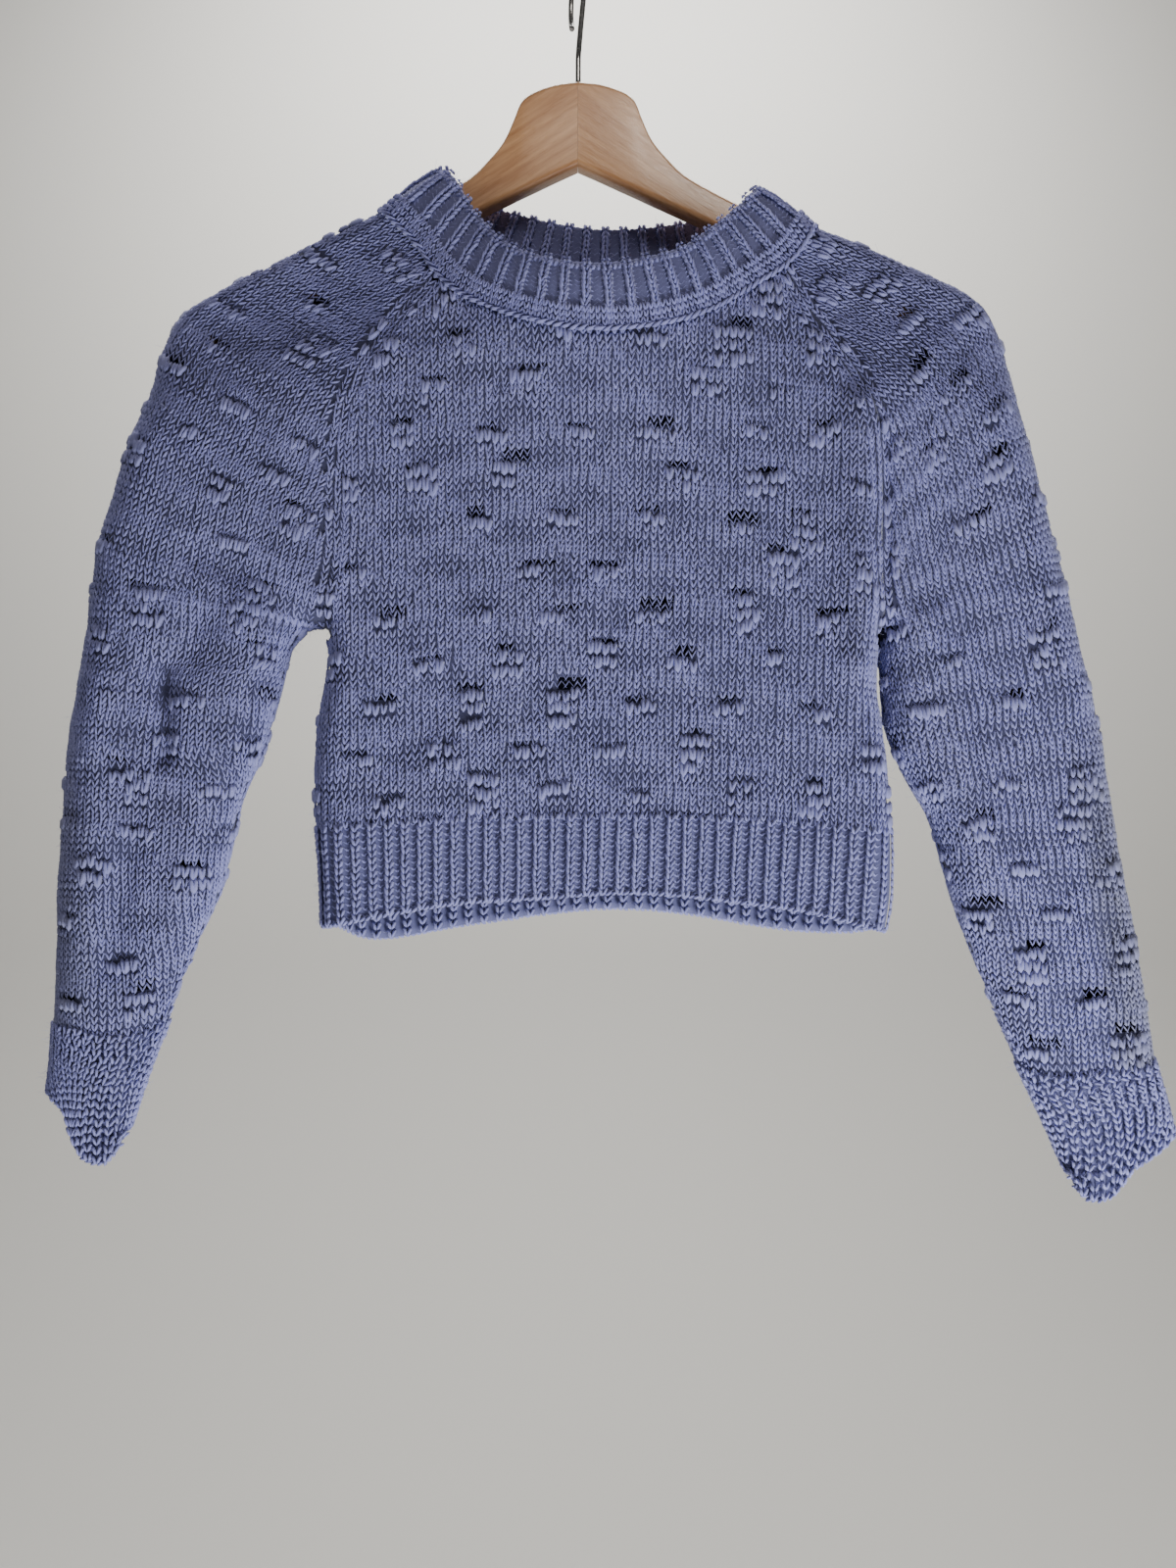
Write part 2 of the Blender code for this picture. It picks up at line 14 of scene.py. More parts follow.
import bpy
import bmesh
import numpy as np
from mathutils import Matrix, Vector


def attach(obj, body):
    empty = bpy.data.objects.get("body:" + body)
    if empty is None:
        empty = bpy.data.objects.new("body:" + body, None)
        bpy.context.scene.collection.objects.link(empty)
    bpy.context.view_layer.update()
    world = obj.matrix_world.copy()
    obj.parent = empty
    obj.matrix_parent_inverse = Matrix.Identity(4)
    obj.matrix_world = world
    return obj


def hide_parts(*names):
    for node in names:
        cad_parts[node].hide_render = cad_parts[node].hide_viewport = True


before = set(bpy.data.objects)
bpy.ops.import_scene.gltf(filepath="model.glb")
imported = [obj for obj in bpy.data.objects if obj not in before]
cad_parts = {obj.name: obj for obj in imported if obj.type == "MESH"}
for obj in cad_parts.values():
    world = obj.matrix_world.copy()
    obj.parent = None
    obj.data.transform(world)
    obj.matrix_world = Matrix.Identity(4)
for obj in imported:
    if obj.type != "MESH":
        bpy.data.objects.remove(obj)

LOG = logging.getLogger("sweater")
MM = 0.001
BODY = "root"
QUARTER = math.pi / 2

# Driving dimensions of the cloth, in millimetres
HOOK_RISE = 74.0
BODY_HALF_DEPTH = 22.0
SHOULDER_HALF_DEPTH = 10.5
SHOULDER_RADIUS = 11.0
SHOULDER_SPREAD = 110.0
SLEEVE_RADIUS = 24.0
SIDE_RADIUS = 18.0
SLEEVE_STARTS, SLEEVE_ROUND = 130.0, 200.0
NECK_PUSH, NECK_PUSH_AT, NECK_PUSH_REACH = 9.0, (11.0, 135.0), (75.0, 70.0)
MIDDLE_Y, MIDDLE_SWEEP, SWEEP_AT = -1.5, -4.0, 215.0

# The gauge of the knitting
WALE = 4.15  # width of a stitch
COURSE = 3.4  # height of a stitch
WALL = 1.1
WALL_INSET = 0.9  # the wall lies this far inside the panel's middle sheet, under the legs
HOLE_AT = 0.55  # the wall is open where the yarn is thinner than this
BODY_CENTRE = 14.0  # x of the column that the body's stitches are counted from
RIB_LEVEL = 402.0  # drop of the rib's top at the sides, on average

# The cloth's outline, as in the design of the frame: x, drop
NECKS = {
    "front": (
        (-103, 71), (-96, 79), (-84, 91), (-69, 112), (-49, 127), (-20, 138), (12, 142.5),
        (44, 139), (69, 129.5), (89, 116), (109, 102), (119, 90), (125, 78.5),
    ),
    "back": (
        (-103, 71), (-88, 80), (-60, 93), (-25, 101), (12, 103), (50, 101.5), (84, 96), (110, 87),
        (125, 78.5),
    ),
}
COLLAR_TOPS = {  # x, y, drop
    "front": (
        (-71, -4, 46.5), (-66, -12, 54), (-60, -14.5, 64), (-49, -19, 81), (-29, -27, 99.5), (10, -32, 108.5),
        (49, -28, 100), (69, -21, 85.5), (85, -14, 70), (91, -12, 63), (97, -4, 55.5),
    ),
    "back": (
        (-71, -4, 46.5), (-66, 10, 50), (-48, 14, 57), (12, 20, 66), (72, 15, 63), (92, 9, 60),
        (97, -4, 55.5),
    ),
}
RAGLANS = {
    ("right", "front"): (
        (-73, 108), (-90, 127), (-105, 146), (-118, 170), (-125, 196), (-127, 228), (-128, 262), (-134, 298),
    ),
    ("right", "back"): (
        (-74, 87), (-100, 116), (-118, 150), (-126, 190), (-128, 230), (-129, 264), (-134, 298),
    ),
    ("left", "front"): (
        (109, 102), (121, 125), (136, 146), (150, 168), (158, 192), (161, 226), (161, 262), (164, 300),
    ),
    ("left", "back"): ((108, 88), (128, 118), (147, 152), (157, 190), (160, 230), (160, 264), (164, 300)),
}
SIDES = {
    "right": (
        (-134, 298), (-133, 311), (-135, 328), (-139, 352), (-140, 378), (-139, 407), (-137, 430),
        (-136, 459),
    ),
    "left": ((164, 300), (162, 312), (162, 330), (165, 350), (168, 376), (170, 407), (170, 440), (167, 460)),
}
RIB_TOP = ((-139, 406), (-60, 400.5), (14, 398.5), (90, 400), (170, 406))
HEMS = {
    "front": ((-136, 458), (-104, 451), (-62, 444), (-19, 441), (36, 438), (98, 444), (130, 449), (167, 459)),
    "back": ((-136, 458), (-112, 468), (-60, 460), (10, 451), (60, 453), (112, 461), (150, 463), (167, 459)),
}
# Where the sleeves' first rows end, as shares of the raglan. At the last of them the sleeve closes.
RAGLAN_SHARES = (0, 0.11, 0.22, 0.33, 0.44, 0.55, 0.66, 0.77, 0.87, 0.935, 0.975, 1)
UNDERARM = len(RAGLAN_SHARES) - 1
SLEEVE_OUTER = {  # x, drop, half_depth, dip
    "right": (
        (-103, 71, 22, 0), (-132, 84.5, 22, 0), (-164, 101.5, 22, 0), (-197, 119, 22, 0), (-213, 131, 22, 0),
        (-222, 148, 22, 0), (-230, 176, 22, 0), (-240, 199, 22, 0), (-248, 226, 22, 0), (-254, 245, 22, 0),
        (-257, 257, 22, 0), (-258, 266, 22, 0), (-260, 280, 22, 0), (-262, 298, 22, 0), (-267, 330, 21, 0),
        (-272, 358, 20, 0), (-274, 386, 19, 0), (-276, 414, 19, 0), (-278, 444, 18, 1), (-278, 470, 17, 2),
        (-279, 496, 15, 4), (-280, 512, 14, 7),
    ),
    "left": (
        (125, 78.5, 22, 0), (150, 88.5, 22, 0), (178, 101, 22, 0), (204, 113.5, 22, 0), (219, 125, 22, 0),
        (227, 141, 22, 0), (235, 170, 22, 0), (243, 199, 22, 0), (251, 230, 22, 0), (257, 252, 22, 0),
        (260, 264, 22, 0), (263, 274, 22, 0), (269, 300, 21, 0), (277, 332, 20, 0), (283, 360, 20, 0),
        (288, 391, 19, 0), (293, 420, 19, 0), (299, 449, 18, 1), (304, 478, 17, 2), (309, 507, 15, 4),
        (313, 530, 14, 7),
    ),
}
SLEEVE_INNER = {  # x, drop, from the underarm down
    "right": (
        (-134, 298), (-145, 297), (-155, 308), (-162, 337), (-171, 366), (-181, 391), (-187, 418),
        (-193, 442), (-203, 463), (-214, 489), (-221, 508),
    ),
    "left": (
        (164, 300), (166, 322), (169, 350), (178, 374), (192, 398), (200, 424), (207, 449), (218, 477),
        (230, 505), (241, 529),
    ),
}
CUFFS = {  # outer x, drop, inner x, drop, half_depth, dip
    "right": (
        (-280, 512, -221, 508, 14, 7), (-281, 530, -232, 534, 13, 14), (-283, 547, -241, 555, 12, 31),
    ),
    "left": ((313, 530, 241, 529, 14, 7), (318, 548, 253, 552, 13, 12), (323, 567, 266, 574, 12, 29)),
}
LOBES = {  # share from the inner edge to the outer, share of the front's dip
    "right": (
        (0, 0.4), (0.08, 0.78), (0.2, 0.98), (0.35, 1), (0.48, 0.94), (0.56, 0.75), (0.66, 0.3),
        (0.75, 0.17), (1, 0),
    ),
    "left": (
        (0, 0.4), (0.06, 0.8), (0.14, 0.96), (0.25, 1), (0.36, 0.94), (0.44, 0.76), (0.54, 0.5),
        (0.75, 0.28), (1, 0),
    ),
}
LOBE_BACK = 0.3  # the share over which the back leaves the front's edge

# Soft folds: x and drop of both ends, width, height. A negative height is a trough.
FOLDS = {
    "front": (
        (150, 186, 152, 318, 13, 6), (-250, 330, -257, 500, 16, 3), (-218, 322, -216, 366, 7, -6),
        (-196, 300, -214, 330, 12, -3), (163, 200, 163, 300, 5, -4), (185, 300, 215, 420, 14, 3),
        (228, 210, 262, 330, 12, 2.5), (-150, 285, -196, 262, 9, -3), (-120, 390, -60, 330, 16, -1.5),
        (120, 395, 70, 330, 14, -1.8), (-30, 300, 30, 260, 22, 1.2), (-236, 420, -246, 480, 9, -3),
        (282, 470, 270, 400, 9, -2.5), (180, 130, 215, 185, 14, 2),
    ),
    "back": (
        (0, 130, 10, 250, 30, 3), (-190, 300, -225, 380, 12, -4), (-110, 250, -95, 390, 14, -3),
        (118, 240, 100, 380, 15, 3), (190, 310, 230, 420, 12, -4), (-250, 340, -262, 480, 13, 3),
        (-215, 170, -235, 250, 12, -2.5), (215, 170, 250, 280, 12, -2.5), (-40, 330, -20, 400, 16, -2),
    ),
}


class Keyed(Enum):
    """A choice that the tables are kept by."""

    @property
    def key(self) -> str:
        """Its name in the tables."""
        return self.name.lower()


class Face(Keyed):
    """A side of the flat sweater, with the sign of its depth."""

    FRONT = -1.0
    BACK = 1.0


class Side(Keyed):
    """The wearer's side, with the sign of its x."""

    RIGHT = -1
    LEFT = 1


def smooth_step(value: np.ndarray) -> np.ndarray:
    """Eases from 0 to 1 as the value does."""
    value = np.clip(value, 0, 1)
    return value * value * (3 - 2 * value)


def round_over(share: np.ndarray) -> np.ndarray:
    """A quarter of a circle: 0 at the edge, 1 from a share of 1 inwards."""
    return np.sqrt(1 - (1 - np.clip(share, 0, 1)) ** 2)


def catmull(rows: tuple, places: np.ndarray) -> np.ndarray:
    """Reads a Catmull-Rom curve through the rows.

    Args:
        rows: The curve's points.
        places: Positions along it, counted in rows.

    Returns:
        One point for each place.
    """
    points = np.array(rows, float)
    points = np.vstack([2 * points[0] - points[1], points, 2 * points[-1] - points[-2]])
    i = np.clip(places.astype(int), 0, len(points) - 4)
    t = (places - i)[:, None]
    before, start, end, after = (points[i + k] for k in range(4))
    bend = 2 * before - 5 * start + 4 * end - after
    twist = 3 * start - before - 3 * end + after
    return 0.5 * (2 * start + (end - before) * t + bend * t**2 + twist * t**3)


def spline(rows: tuple, samples: int = 14) -> np.ndarray:
    """A dense curve through the rows."""
    return catmull(rows, np.linspace(0, len(rows) - 1, (len(rows) - 1) * samples + 1))


def crowded(count: int, even: float) -> np.ndarray:
    """Shares from 0 to 1 that crowd towards both ends, less so the more even they are."""
    share = np.linspace(0, 1, count)
    return even * share + (1 - even) * (1 - np.cos(math.pi * share)) / 2


def arc_lengths(points: np.ndarray) -> np.ndarray:
    """The distance along a line of points, from its first."""
    return np.concatenate([[0], np.cumsum(np.linalg.norm(np.diff(points, axis=0), axis=1))])


def read_at(points: np.ndarray, reach: np.ndarray, wanted: np.ndarray) -> np.ndarray:
    """The points' values at these distances along their line."""
    return np.stack([np.interp(wanted, reach, column) for column in points.T], 1)


def at_shares(curve: np.ndarray, shares: np.ndarray) -> np.ndarray:
    """The curve's points at these shares of its length."""
    reach = arc_lengths(curve)
    return read_at(curve, reach, np.asarray(shares) * reach[-1])


def share_near(curve: np.ndarray, point: tuple) -> float:
    """The share of the curve's length at which it passes nearest to the point."""
    reach = arc_lengths(curve)
    nearest = np.argmin(np.linalg.norm(curve - np.array(point), axis=1))
    return float(reach[nearest] / reach[-1])


def distance_to(points: np.ndarray, curve: np.ndarray) -> np.ndarray:
    """From each flat point to the nearest place on a flat curve."""
    start, along = curve[:-1], np.diff(curve, axis=0)
    best = np.full(len(points), np.inf)
    for a, d in zip(start, along):
        rel = points - a
        t = np.clip(rel @ d / (d @ d), 0, 1)
        best = np.minimum(best, np.hypot(rel[:, 0] - t * d[0], rel[:, 1] - t * d[1]))
    return best


def lobe(key: str, shares: np.ndarray, face: "Face") -> np.ndarray:
    """How much of the dip there is at these shares across the sleeve's end."""
    if face is Face.FRONT:
        return np.interp(shares, *np.array(LOBES[key]).T)
    return np.interp(shares, (0, LOBE_BACK), (LOBES[key][0][1], 0))


EDGE_SAMPLES = 3
OUTER_EDGES = {
    key: spline([row[:2] for row in SLEEVE_OUTER[key] + CUFFS[key][1:]], EDGE_SAMPLES) for key in SLEEVE_OUTER
}
INNER_EDGES = {
    key: spline(
        [*SLEEVE_INNER[key], *((row[2], row[3] + row[5] * LOBES[key][0][1]) for row in CUFFS[key][1:])],
        EDGE_SAMPLES,
    )
    for key in SLEEVE_INNER
}
SIDE_EDGES = {key: spline(rows, EDGE_SAMPLES) for key, rows in SIDES.items()}


def middle_y(x: np.ndarray) -> np.ndarray:
    """How far back the middle sheet lies at each x."""
    return MIDDLE_Y + MIDDLE_SWEEP * np.minimum(np.abs(x) / SWEEP_AT, 1) ** 2


@dataclass(frozen=True)
class Hang:
    """How the cloth hangs: which edges it folds over, and how deep it is between them."""

    outer: tuple
    inner: tuple

    def half(self, flat: np.ndarray, half_depth: np.ndarray) -> np.ndarray:
        """Half the distance between the front sheet and the back one."""
        from_outer = np.min([distance_to(flat, edge) for edge in self.outer], axis=0)
        from_inner = np.min([distance_to(flat, edge) for edge in self.inner], axis=0)
        over_arm = SHOULDER_HALF_DEPTH * round_over(from_outer / SHOULDER_RADIUS)
        over_arm += (half_depth - SHOULDER_HALF_DEPTH) * smooth_step(from_outer / SHOULDER_SPREAD)
        on_sleeve = half_depth * round_over(from_outer / SLEEVE_RADIUS)
        below = smooth_step((flat[:, 1] - SLEEVE_STARTS) / (SLEEVE_ROUND - SLEEVE_STARTS))
        return (over_arm + (on_sleeve - over_arm) * below) * round_over(from_inner / SIDE_RADIUS)

    def lay(
        self, flat: np.ndarray, face: Face, half_depth: np.ndarray | float = BODY_HALF_DEPTH
    ) -> np.ndarray:
        """Lays flat points (x, drop) on the front sheet or the back one.

        Args:
            flat: The points, in a list or a grid.
            face: The sheet they lie on.
            half_depth: Half the garment's depth there.

        Returns:
            Their places, in millimetres from the wood's top.
        """
        if flat.ndim == 3:
            return self.lay(flat.reshape(-1, 2), face, half_depth).reshape(*flat.shape[:2], 3)
        half = self.half(flat, half_depth)
        flatness = half / half_depth
        height = np.zeros(len(flat))
        for x0, drop0, x1, drop1, width, rise in FOLDS[face.key]:
            near = distance_to(flat, np.array([[x0, drop0], [x1, drop1]], float))
            height += rise * np.exp(-((near / width) ** 2))
        y = middle_y(flat[:, 0]) + face.value * (half + flatness * height)
        if face is Face.FRONT:
            across = (flat[:, 0] - NECK_PUSH_AT[0]) / NECK_PUSH_REACH[0]
            down = (flat[:, 1] - NECK_PUSH_AT[1]) / NECK_PUSH_REACH[1]
            y = y - flatness * NECK_PUSH * np.exp(-(across**2) - down**2)
        return np.stack([flat[:, 0], y, -flat[:, 1]], 1)


BODY_HANG = Hang(tuple(OUTER_EDGES.values()), tuple(SIDE_EDGES.values()))
SLEEVE_HANGS = {key: Hang((OUTER_EDGES[key],), (INNER_EDGES[key],)) for key in OUTER_EDGES}


class Rows:
    """A set of arrays that have a row each for every stitch or leg."""

    @classmethod
    def names(cls) -> list[str]:
        """The arrays that a set is made from."""
        return [item.name for item in fields(cls) if item.init]

    def kept(self, mask: np.ndarray) -> Self:
        """The rows for which the mask holds."""
        return type(self)(*(getattr(self, name)[mask] for name in self.names()))

    @classmethod
    def joined(cls, parts: list[Self]) -> Self:
        """All the parts' rows as one set."""
        return cls(*(np.concatenate([getattr(part, name) for part in parts]) for name in cls.names()))


@dataclass
class Stitches(Rows):
    """Where stitches lie and how they are turned."""

    place: np.ndarray
    along: np.ndarray  # up the column
    across: np.ndarray
    wale: np.ndarray
    course: np.ndarray
    flat: np.ndarray
    wear: np.ndarray | float = 0.0  # how grey the wool is made, as matted wool and painted sheen
    outwards: np.ndarray = field(init=False)

    def __post_init__(self) -> None:
        """Makes the directions square to each other."""
        self.wear = np.broadcast_to(self.wear, len(self.place))
        self.along = unit(self.along)
        self.outwards = unit(np.cross(self.across, self.along))
        self.across = unit(np.cross(self.along, self.outwards))

    def turned(self, sign: float, wear: np.ndarray | float = 0.0) -> "Stitches":
        """The same stitches, facing the other way for a negative sign, and as grey as wear says: matted wool
        and painted sheen.
        """
        return Stitches(self.place, self.along, self.across * sign, self.wale, self.course, self.flat, wear)


def unit(vectors: np.ndarray) -> np.ndarray:
    """The vectors made one long."""
    return vectors / np.maximum(np.linalg.norm(vectors, axis=-1, keepdims=True), 1e-9)


@dataclass
class Carrier:
    """Dense rows of points across a knitted piece, one for each course."""

    rows: np.ndarray  # course, sample, xyz
    flats: np.ndarray  # course, sample, x and drop
    centre: np.ndarray  # of each row, the distance along it at which wale 0 starts
    margins: np.ndarray  # of each row, how far in from its two ends the first stitch may lie

    def stitches(self) -> Stitches:
        """Places stitches a wale apart along every row."""
        parts = []
        last = len(self.rows) - 1
        reaches = [arc_lengths(row) for row in self.rows]
        for j, (row, flat, reach) in enumerate(zip(self.rows, self.flats, reaches)):
            first = math.ceil((self.margins[j, 0] - self.centre[j]) / WALE - 0.5)
            final = math.floor((reach[-1] - self.margins[j, 1] - self.centre[j]) / WALE - 0.5)
            number = np.arange(first, final + 1)
            wanted = (number + 0.5) * WALE
            here = read_at(row, reach, wanted + self.centre[j])
            step = 0.3 * WALE
            ahead = read_at(row, reach, wanted + self.centre[j] + step)
            behind = read_at(row, reach, wanted + self.centre[j] - step)
            up, down = min(j + 1, last), max(j - 1, 0)
            above = read_at(self.rows[up], reaches[up], wanted + self.centre[up])
            below = read_at(self.rows[down], reaches[down], wanted + self.centre[down])
            parts.append(
                Stitches(
                    here, above - below, ahead - behind, number.astype(float), np.full(len(number), float(j)),
                    read_at(flat, reach, wanted + self.centre[j]),
                )
            )
        return Stitches.joined(parts)


@dataclass(frozen=True)
class Slub:
    """The yarn's thick and thin stretches, which fall in staggered rows of beads under open stitches."""

    spacing: float = 11.0  # wales from one cluster of beads to the next
    rise: float = 7.0  # courses from one row of clusters to the next
    seed: float = 0.0

    def noise(self, a: np.ndarray, b: np.ndarray, salt: float) -> np.ndarray:
        """A repeatable number from 0 to 1 for each cell."""
        value = np.sin(a * 12.9898 + b * 78.233 + (salt + self.seed) * 37.719) * 43758.5453
        return value - np.floor(value)

    def swell(self, wale: np.ndarray, course: np.ndarray, salt: float) -> np.ndarray:
        """A slow wave over the knitting, from -1 to 1."""
        a, b = wale * 0.55 + 0.7 * salt, course * 0.62 + 1.3 * salt + self.seed
        return (np.sin(a + 0.6 * b) + np.sin(0.61 * a - 1.13 * b + 2.0) + np.sin(1.7 * b + 0.23 * a)) / 3

    def read(self, wale: np.ndarray, course: np.ndarray) -> "Yield":
        """How thick the yarn is at each stitch.

        Args:
            wale: The stitches' columns.
            course: Their rows.

        Returns:
            What the yarn does there.
        """
        puff = np.zeros_like(wale)
        thin = 0.42 * np.clip(self.swell(wale, course, 3.0) * 1.8, 0, 1)
        bead, spare = np.zeros(wale.shape, bool), np.zeros(wale.shape, bool)
        band = np.floor(course / self.rise)
        for row in (band - 1, band, band + 1):
            offset = 0.5 * self.spacing * np.mod(row, 2) + 1.2 * np.sin(row * 1.7 + self.seed)
            near = np.floor((wale - offset) / self.spacing)
            for cell in (near - 1, near, near + 1):
                roll = [self.noise(cell, row, salt) for salt in range(8)]
                middle = (cell + 0.5) * self.spacing + offset + 2.4 * (roll[0] - 0.5)
                rows = np.select([roll[1] < 0.5, roll[1] < 0.78], [1, 2], 3)
                width = 1.6 + 0.9 * roll[2]
                start = np.round((row + 0.5) * self.rise + 1.6 * (roll[3] - 0.5) - rows)
                strong = roll[4] > 0.14
                across, level = np.abs(wale - middle), np.round(course) - start
                ragged = self.noise(np.round(wale), start + np.floor(level / 2), 9.0) > 0.24
                inside = strong & ragged & (across < width) & (level >= 0) & (level < 2 * rows)
                bead |= inside & (np.mod(level, 2) < 0.5)
                spare |= inside & (np.mod(level, 2) > 0.5)
                bulge = np.exp(-((across / (width + 0.4)) ** 4))
                bulge = bulge * np.exp(-((np.abs(level - rows + 0.5) / (rows + 0.4)) ** 4))
                puff = np.maximum(puff, strong * bulge)
                over = level - 2 * rows
                shift = wale - middle - 2.2 * (roll[5] - 0.5)
                tall = 1 + (roll[5] > 0.85)
                gap = strong & (np.abs(shift) < 1.1 + 0.9 * roll[6]) & (over >= 0) & (over < tall)
                beside = wale - middle - np.where(roll[7] > 0.5, 1, -1) * (width + 1.3)
                ladder = strong & (roll[6] > 0.74) & (np.abs(beside) < 1.1) & (np.abs(level - rows) < 2.6)
                thin = np.maximum(thin, np.maximum(gap * (0.35 + 0.8 * roll[4]), ladder * 0.52))
        thin = np.where(bead | spare, 0, thin)
        return Yield(puff, thin, bead, spare & ~bead)


@dataclass(frozen=True)
class Yield(Rows):
    """What the yarn does at each stitch."""

    puff: np.ndarray  # how far the sheet swells, from 0 to 1
    thin: np.ndarray  # how thin the yarn is, from 0 to 1
    bead: np.ndarray  # whether the stitch is a fat bead two courses tall
    spare: np.ndarray  # whether a bead below takes the stitch's place


@dataclass(frozen=True)
class Yarn:
    """The size of a stitch's two legs, in millimetres."""

    length: float = 5.6
    width: float = 2.12
    depth: float = 1.9
    lean: float = math.radians(17)
    spread: float = 0.222  # of a wale, from the column's middle to a leg
    rise: float = 0.0  # out of the middle sheet


@dataclass
class Legs(Rows):
    """Yarn legs ready to be placed."""

    place: np.ndarray
    along: np.ndarray
    outwards: np.ndarray
    size: np.ndarray  # half depth, half width, half length
    shade: np.ndarray
    wear: np.ndarray
    flat: np.ndarray


def knit_legs(stitches: Stitches, yarn: Yarn, slub: Slub | None, seed: int) -> Legs:
    """Makes the two legs of every stitch.

    Args:
        stitches: Where they lie.
        yarn: The legs' size.
        slub: The yarn's thick and thin stretches, or None for an even yarn.
        seed: Fixes the small unevenness.

    Returns:
        The legs, left ones first.
    """
    rng = np.random.default_rng(seed)
    if slub is None:
        none = np.zeros(len(stitches.place))
        yields = Yield(none, none, none > 0, none > 0)
    else:
        yields = slub.read(stitches.wale, stitches.course)
        stitches = stitches.kept(~yields.spare)
        yields = yields.kept(~yields.spare)
    puff, thin, bead = yields.puff, yields.thin, yields.bead * 1.0
    count = len(stitches.place)
    drift, lift = np.zeros(count), np.zeros(count)
    if slub is not None:
        drift = 0.18 * slub.swell(stitches.wale, stitches.course, 1.0)
        lift = 0.38 * slub.swell(stitches.wale, stitches.course, 2.0)
    drift = drift + rng.normal(0, 0.04, count)
    lift = lift + 0.25 * bead * rng.normal(0, 1, count)
    plump = bead * np.clip(1 + 0.34 * rng.normal(0, 1, count), 0.3, 1.7)
    parts = []
    for turn in (-1.0, 1.0):
        uneven = rng.normal(0, 1, (count, 4))
        lean = yarn.lean * (1 - 0.35 * bead) + math.radians(12) * thin**2 + 0.09 * uneven[:, 1]
        along = np.cos(lean)[:, None] * stitches.along + (turn * np.sin(lean))[:, None] * stitches.across
        shift = turn * yarn.spread * WALE * (1 - 0.12 * bead) + 0.12 * uneven[:, 2] + drift * WALE
        place = stitches.place + shift[:, None] * stitches.across
        place = place + ((lift + 0.5 * bead) * COURSE)[:, None] * stitches.along
        rise = yarn.rise + 0.55 * puff + 0.2 * bead - 0.35 * thin + 0.09 * uneven[:, 3]
        place = place + rise[:, None] * stitches.outwards
        size = np.stack(
            [
                0.5 * yarn.depth * (1 + 0.6 * plump - 0.5 * thin),
                0.5 * yarn.width * (1 + 0.66 * plump - 0.55 * thin + 0.08 * uneven[:, 0]),
                0.5 * yarn.length * (1 + 0.44 * plump + 0.05 * thin + 0.03 * uneven[:, 1]),
            ],
            1,
        )
        # Lighter on beads and puffs as painted highlight, darker on thin yarn as painted shade, with random
        # tone.
        shade = np.clip(0.5 + 0.05 * bead + 0.04 * puff - 0.18 * thin + 0.10 * uneven[:, 2], 0, 1)
        # Beads get more of the grey of matted wool and painted sheen.
        wear = stitches.wear + 0.14 * bead
        parts.append(Legs(place, along, stitches.outwards, size, shade, wear, stitches.flat))
    return Legs.joined(parts)


def chain_legs(
    line: np.ndarray, outwards: np.ndarray, step: float, size: tuple, slant: float, seed: int
) -> Legs:
    """Makes the links of a twisted cord along a line.

    Args:
        line: The cord's points, in millimetres.
        outwards: The side it shows, at each point.
        step: From link to link.
        size: A link's depth, width and length.
        slant: The links' angle to the line, in radians.
        seed: Fixes the small unevenness.

    Returns:
        The links.
    """
    rng = np.random.default_rng(seed)
    reach = arc_lengths(line)
    wanted = (np.arange(int(reach[-1] / step)) + 0.5) * step
    place, out = read_at(line, reach, wanted), unit(read_at(outwards, reach, wanted))
    ahead = unit(read_at(line, reach, wanted + 1) - read_at(line, reach, wanted - 1))
    slants = slant + 0.12 * rng.normal(0, 1, len(place))
    along = np.cos(slants)[:, None] * ahead + np.sin(slants)[:, None] * unit(np.cross(out, ahead))
    sizes = 0.5 * np.array(size) * (1 + 0.07 * rng.normal(0, 1, (len(place), 1)))
    shade = np.clip(0.5 + 0.1 * rng.normal(0, 1, len(place)), 0, 1)
    flat = np.stack([wanted, np.zeros(len(wanted))], 1)
    return Legs(place, along, out, sizes, shade, np.zeros(len(place)), flat)


def stray_fibres(legs: Legs, count: int, seed: int) -> Legs:
    """Makes fine hairs that stand off the yarn, most of them where the cloth turns away from the front.

    Args:
        legs: The yarn they stand on.
        count: How many there are.
        seed: Fixes which legs carry them.

    Returns:
        The hairs.
    """
    rng = np.random.default_rng(seed)
    weight = 0.12 + (1 - np.abs(legs.outwards[:, 1])) ** 2
    chosen = rng.choice(len(legs.place), count, p=weight / weight.sum())
    loose = rng.normal(0, 1, (count, 3))
    along = unit(legs.outwards[chosen] * 0.8 + 0.75 * loose)
    length = 2.2 + 1.6 * rng.random(count) ** 2
    place = legs.place[chosen] + legs.outwards[chosen] * 0.6 + along * length[:, None] * 0.8
    out = unit(np.cross(along, loose[:, ::-1] + 0.01))
    size = np.stack([np.full(count, 0.055), np.full(count, 0.055), length], 1)
    return Legs(place, along, out, size, np.full(count, 0.6), np.zeros(count), legs.flat[chosen])


def stitch_grid(place: np.ndarray, along: np.ndarray, across: np.ndarray, flats: np.ndarray) -> Stitches:
    """A stitch at every point of a grid, one course to a row."""
    courses, wales = place.shape[:2]
    wale = np.tile(np.arange(wales, dtype=float), courses)
    course = np.repeat(np.arange(courses, dtype=float), wales)
    along, across = along.reshape(-1, 3), across.reshape(-1, 3)
    return Stitches(place.reshape(-1, 3), along, across, wale, course, flats.reshape(-1, 2))


